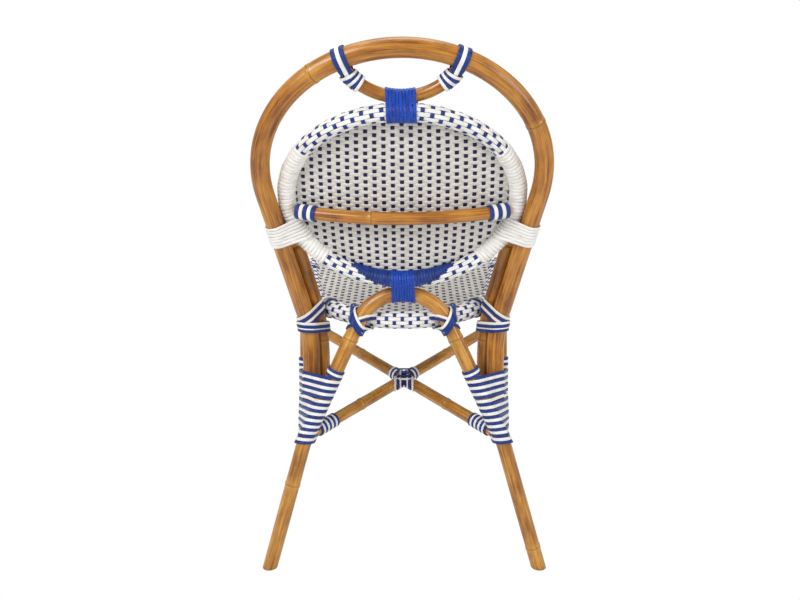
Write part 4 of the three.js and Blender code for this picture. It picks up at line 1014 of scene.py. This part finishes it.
# Two more canes stand in where the strand runs on past the ends of the tails
wrap_canes = [
    arch_cane, hoop_cane, side_cane, brace_cane,
    Cane(np.array([side_end, below_side, arch_end + vec(10, 12, -20)]), SIDE_R),
    Cane(np.array([arch_end, at_height(left_hoop, WRAP_LOW - 1)[0]]), ARCH_R - 0.5),
]
for name, look, ends, lead in (("blue", blue, (0.0, 0.0), 0.0), ("white", white, (0.1, 0.6), wrap_pitch / 2)):
    winding(f"leg_wrap_{name}", wrap_canes, wrap_course, WRAP_TURNS, wrap_width, pair, look,
            f"leg_wrap_{name}", ends, lead)

HOOP_COLLAR_H, SIDE_COLLAR_H, SIDE_BINDING_H, POST_LASH_H = 356, 345.5, 603, 422.5
bands("hoop_collar", [hoop_cane], at_height(left_hoop, HOOP_COLLAR_H), (1, 0, 1))
bands("side_collar", [side_cane], at_height(side_hoop, SIDE_COLLAR_H), (0, 1, 0, 1))

post, post_run = at_height(left_arch, SIDE_BINDING_H)
rim_beside = crossing(oval, post, post_run)[0]
SIDE_LENGTH, SIDE_TURNS, SIDE_WIDTH, SIDE_THICK = 38, 7, 5.1, 2.2
side_course = straight((post + rim_beside) / 2, post_run, SIDE_LENGTH)
winding("side_binding", [arch_cane, oval_cane], side_course, SIDE_TURNS, SIDE_WIDTH, pair, white,
        "side_binding", thick=SIDE_THICK)

TOP_LENGTH, BOTTOM_LENGTH, CENTRE_TURNS, CENTRE_WIDTH, CENTRE_THICK = 46, 40, 9, 0.94, 1.8
for name, canes, middle, length in (
        ("top", [handle_cane, oval_cane], top_of_oval + HANDLE_R * UP, TOP_LENGTH),
        ("bottom", [whole_hoop, oval_cane], on_oval(0, -oval_rise) - HOOP_R * UP, BOTTOM_LENGTH)):
    width = length / CENTRE_TURNS * CENTRE_WIDTH
    winding(f"{name}_binding", canes, straight(middle, ACROSS, length), CENTRE_TURNS, width, Sheaf.build,
            royal, f"{name}_centre_binding", thick=CENTRE_THICK)

CRESCENT_FROM, CRESCENT_TO, CRESCENT_PITCH = 20, 88, 4.8
CRESCENT_PROUD, CRESCENT_TUCKED, CRESCENT_THICK = 1, 3.6, 1.6
TUCK_FROM, TUCK_TO, TUCK_CURVE, TUCK_EDGE = 112, 330, 1.6, 0.25


def foot_place(x):
    return place_on(oval, on_oval(x, -oval_rise * sqrt(1 - (x / OVAL_W) ** 2)))


def crescent():
    """Blue strand round the foot of the rim, tucked under the checks away from the middle."""
    sheaf = Sheaf()
    start, end = foot_place(CRESCENT_FROM), foot_place(CRESCENT_TO)
    turns = int((end - start) / CRESCENT_PITCH)
    t = np.linspace(0, 1, turns * 40)
    phi = tau * turns * t
    toward_rear = np.mod(-phi, tau)
    tuck = radians(TUCK_FROM) * (1 - t ** TUCK_CURVE) - 0.05
    hidden = (np.clip((toward_rear - tuck) / TUCK_EDGE, 0, 1)
              * np.clip((radians(TUCK_TO) - toward_rear) / TUCK_EDGE, 0, 1))
    radius = BACK_RIM_R + CRESCENT_PROUD - CRESCENT_TUCKED * hidden
    points, normals = back_rim(start + (end - start) * t, phi, radius)
    strip(sheaf, points, normals, CRESCENT_PITCH * SNUG, 0, CRESCENT_THICK)
    pair(sheaf, "bottom_wrap_strand", [blue], "bottom_rim_wrap")


crescent()

BAR_BINDING_W, BAR_PITCH, BAR_WIDTH = 154.5, 6.9, 0.93
bar_middle, bar_run, _ = crossing(crossbar, vec(BAR_BINDING_W, KNEE_BACK, CROSSBAR_H), ACROSS)
two_strands("crossbar_binding", [Cane(crossbar, CROSSBAR_R)], bar_middle, bar_run, *(
    [(k * BAR_PITCH, BAR_PITCH * BAR_WIDTH) for k in places] for places in ((-2, 0, 2), (-1, 1))))

# Lashings

# How the planes of the lashings face
POST_LASH_PLANE, SEAT_LASH_PLANE = unit(vec(-0.07, -0.24, 1)), vec(0.545, 0, 0.839)
two_strands("post_lash", over([arch_cane, brace_cane], 2.4), at_height(left_arch, POST_LASH_H)[0],
            POST_LASH_PLANE, ((-6.9, 4.9), (1.4, 5.2)), ((-2.9, 2.4), (6.6, 4.6)))

sheaf = Sheaf()
for z, kind in ((427.5, 1), (435, 0), (442, 1), (448.5, 0)):
    band(sheaf, [arch_cane, brace_cane], at_height(left_arch, z)[0], SEAT_LASH_PLANE, kind, 5.3)
for degrees, kind, width in ((38.5, 1, 6.6), (34.5, 0, 3.4)):
    angle = radians(degrees)
    out = vec(cos(angle), sin(angle), 0)
    place = vec(0, SEAT_CENTRE, SEAT_FRAME_Z) + SEAT_REAR_R * out
    band(sheaf, [seat_cane], place, np.cross(UP, out), kind, width)
pair(sheaf, "seat_lash_strand", [white, blue], "seat_lash")

rim_point, hoop_point, rim_run, hoop_run = nearest(seat_ring, left_hoop)
hoop_up, rim_in = toward(UP, hoop_run), toward(-ACROSS, rim_run)
rim_up = toward(hoop_up, rim_run)
sheaf = Sheaf()
# Each band: how far it leans along the rim, its offset, kind, extra lift and place along the rim
for lean, offset, kind, more, inward in (
        (-0.9, -8.5, 1, 0, 9), (-0.9, -3.5, 0, 0, 9), (0, -14, 1, 1, -12),
        (0.8, -13, 1, 2, 0), (1, -10, 1, 2, 0), (1, -5.8, 1, 2, 0), (1, -1.2, 0, 2, 0)):
    normal = unit(hoop_up + lean * rim_up)
    beside = rim_point + rim_in * inward
    stub = Cane(np.array([beside - normal * STUB_REACH, beside + normal * STUB_REACH]), SEAT_RIM_R)
    band(sheaf, [hoop_cane, seat_cane if lean > 0 else stub],
         (rim_point + hoop_point) / 2 + normal * offset, normal, kind, lift=MID_LIFT + more)
pair(sheaf, "hoop_lash_strand", [white, blue], "hoop_lash")

front_joint = crossing(side_hoop, vec(SIDE_FRONT_W, -120, SIDE_Z), -IN_FRONT)[:2]
bands("front_lash", [side_cane, seat_cane], front_joint, (1, 0, 1))

# Sleeves and knot of the stretchers

SLEEVE_START, FRONT_SLEEVE, SLEEVE_PITCH, SLEEVE_BAND = 39, 44.5, 4.9, 4.6
KNOT_SIDE_START, KNOT_THICK, KNOT_LIFT, KNOT_TOP = 15.5, 1.8, LIFT + 1.4, 2
two_strands("rear_sleeve", [stretcher_cane], along_stretcher(SLEEVE_START), stretcher_run, *(
    [(SLEEVE_PITCH * k, SLEEVE_BAND) for k in places] for places in ((-2, 0, 2, 4, 6), (-1, 1, 3, 5))),
            guide=BELOW)
front_sleeve = along_stretcher(stretcher_length - FRONT_SLEEVE)
bands("front_sleeve", [stretcher_cane], (front_sleeve, stretcher_run), (1, 0, 1, 0), BELOW)


def stretcher_knot():
    sheaf = Sheaf()
    for own, run in ((stretcher_cane, stretcher_run), (other_stretcher, mirror(stretcher_run))):
        for i, kind in enumerate((1, 0, 1, 0)):
            place = stretcher_cross + run * (KNOT_SIDE_START + SLEEVE_PITCH * i)
            band(sheaf, [own], place, run, kind, SLEEVE_BAND, BELOW)
        for across, kind, width in ((11, 1, 5.6), (16.5, 0, SLEEVE_BAND)):
            place = stretcher_cross - run * across / abs(run[0])
            band(sheaf, [own], place, ACROSS, kind, width, BELOW)
    for offset, kind in ((-6.6, 0), (-2.4, 1), (2.4, 1), (6.6, 0)):
        band(sheaf, [stretcher_cane, other_stretcher], stretcher_cross + ACROSS * offset, ACROSS, kind, 3.8,
             BELOW, KNOT_LIFT, KNOT_THICK)
    top = STRETCHER_R + KNOT_LIFT + KNOT_TOP
    # Strands over the top: place toward the rear, drop, kind, width and ends across the chair
    for back, drop, kind, width, ends in (
            (-15, 0, 1, 5.0, (15, -17)), (-1, 0, 1, 6.2, (4, -9)), (5.5, 0, 1, 6.2, (4, -9)),
            (17, 1, 1, 5.0, (11, -15)), (21.5, 5.5, 0, 4.2, (15, -24))):
        x = np.linspace(*ends, 14)
        out = unit(vec(0, 0.35 + 0.12 * drop if back > 10 else 0, 1))
        points = stretcher_cross + np.stack(np.broadcast_arrays(x, back, top - drop), axis=1)
        strip(sheaf, points, np.tile(out, (len(x), 1)), width, kind, KNOT_THICK)
    sheaf.build("stretcher_knot_strands", [white, blue], "stretcher_knot")


stretcher_knot()

# Bindings of the hand hold: three straps over the arch and a knot round the handle

STRAP_REACH, STRAP_PITCH, STRAP_WIDTH, STRAP_SHIFT = 24, 7, 6.6, 5.5
KNOT_START, KNOT_PITCH, KNOT_WIDTH = 19.5, 5.1, 4.9


def hand_hold_bindings():
    sheaf = Sheaf()
    joint = handle_at(handle_sweep)
    _, on_arch, _, arch_run = nearest(np.array([joint, joint + 0.01 * ACROSS]), arch)
    centre = on_arch + arch_run * STRAP_SHIFT
    away = unit(handle_at(handle_sweep - 0.3) - joint)
    rear = toward(-IN_FRONT, unit(np.cross(away, arch_run)))
    away = unit(away - arch_run * (away @ arch_run))
    radius, face = ARCH_R + MID_LIFT, HANDLE_R + MID_LIFT
    first = pi / 2 - asin((radius - face) / STRAP_REACH)
    arc = np.linspace(first, tau - first, 40)
    path = ([away * STRAP_REACH + rear * face]
            + [away * radius * cos(angle) + rear * radius * sin(angle) for angle in arc]
            + [away * STRAP_REACH - rear * face])
    for lean, kind in ((-1, 1), (0, 0), (1, 1)):
        points, faces = [], []
        for p in resample(np.array(path), 2.5):
            out = away * min(0.0, p @ away) + rear * (p @ rear)
            depth = max(0.0, p @ away) / STRAP_REACH
            spread = lean * (STRAP_PITCH - 0.8 * depth)
            dome = HANDLE_R - sqrt(HANDLE_R ** 2 - spread ** 2)
            points.append(centre + p + arch_run * spread - unit(out) * dome * depth)
            faces.append(unit(out + arch_run * lean * 4 * depth))
        strip(sheaf, np.array(points), np.array(faces), STRAP_WIDTH, kind)
    for i, (kind, slant) in enumerate(((0, -16), (1, -11), (0, -7), (1, -3), (0, 0))):
        place = KNOT_START + KNOT_PITCH * i
        point, ahead = along(handle, lengths_of(handle), np.array([place, place + 1]))
        run = unit(ahead - point)
        normal = turned(run, unit(np.cross(run, arch_run)), radians(slant))
        band(sheaf, over([handle_cane], 1.6), point, normal, kind, KNOT_WIDTH, thick=2.0)
    pair(sheaf, "hand_hold_binding", [white, blue], "handle_strap", "handle_knot_blue", "handle_knot_white")


hand_hold_bindings()

# Stage, light and camera


def to_camera(tree, lit, plain):
    """One shader for the light on the chair and another for what the camera sees."""
    seen = node(tree, "ShaderNodeLightPath").outputs["Is Camera Ray"]
    return node(tree, "ShaderNodeMixShader", {0: seen, 1: lit, 2: plain}).outputs[0]


bpy.ops.mesh.primitive_plane_add(size=60)
floor = bpy.context.active_object
floor.name = "floor"
floor_mat, floor_tree, floor_shader = material("pale_floor")
feed(floor_tree, floor_shader, {"Base Color": (0.86, 0.86, 0.86, 1), "Roughness": 0.9})
glow = node(floor_tree, "ShaderNodeEmission", {"Color": (1, 1, 1, 1), "Strength": 1})
feed(floor_tree, floor_tree.nodes["Material Output"],
     {"Surface": to_camera(floor_tree, floor_shader.outputs[0], glow.outputs[0])})
floor.data.materials.append(floor_mat)

scene = bpy.context.scene
scene.view_settings.view_transform = "Standard"
world = bpy.data.worlds.new("studio")
scene.world = world
world.use_nodes = True
sky = world.node_tree
sky.nodes.clear()
soft = node(sky, "ShaderNodeBackground", {"Color": (1.0, 0.99, 0.97, 1), "Strength": 0.5})
plain = node(sky, "ShaderNodeBackground", {"Color": (1, 1, 1, 1), "Strength": 1})
node(sky, "ShaderNodeOutputWorld", {"Surface": to_camera(sky, soft.outputs[0], plain.outputs[0])})


def area_light(name, location, target, size, power):
    data = bpy.data.lights.new(name, "AREA")
    data.shape = "RECTANGLE"
    data.size, data.size_y = size
    data.energy = power
    obj = new_object(name, data)
    obj.location = location
    back = unit(np.array(location, float) - np.array(target, float))
    right = unit(np.cross(UP, back))
    up = np.cross(back, right)
    obj.rotation_euler = Matrix((right, up, back)).transposed().to_euler()


area_light("key", (1.5, 1.7, 2.3), (0, 0.05, 0.5), (1.3, 1.0), 44)
area_light("fill", (-1.9, 1.5, 1.4), (0, 0.05, 0.5), (1.2, 1.2), 20)
area_light("top", (0.1, -0.5, 2.6), (0, 0, 0.5), (1.4, 1.0), 16)

# The camera that was fitted to the photo
CAMERA_AT, LENS, SENSOR = (-0.01027, 1.60298, 0.96702), 39.98, 36
tilt, yaw, roll = 0.3258, 0.0106, -0.0066
cam_data = bpy.data.cameras.new("camera")
cam = new_object("camera", cam_data)
scene.camera = cam
cam_data.sensor_width = SENSOR
cam_data.lens = LENS
ahead = vec(sin(yaw) * cos(tilt), -cos(yaw) * cos(tilt), -sin(tilt))
right = vec(-cos(yaw), -sin(yaw), 0)
above = np.cross(right, ahead)
cam_right = cos(roll) * right + sin(roll) * above
cam_up = -sin(roll) * right + cos(roll) * above
pose = Matrix((cam_right, cam_up, -ahead)).transposed().to_4x4()
pose.translation = CAMERA_AT
cam.matrix_world = pose
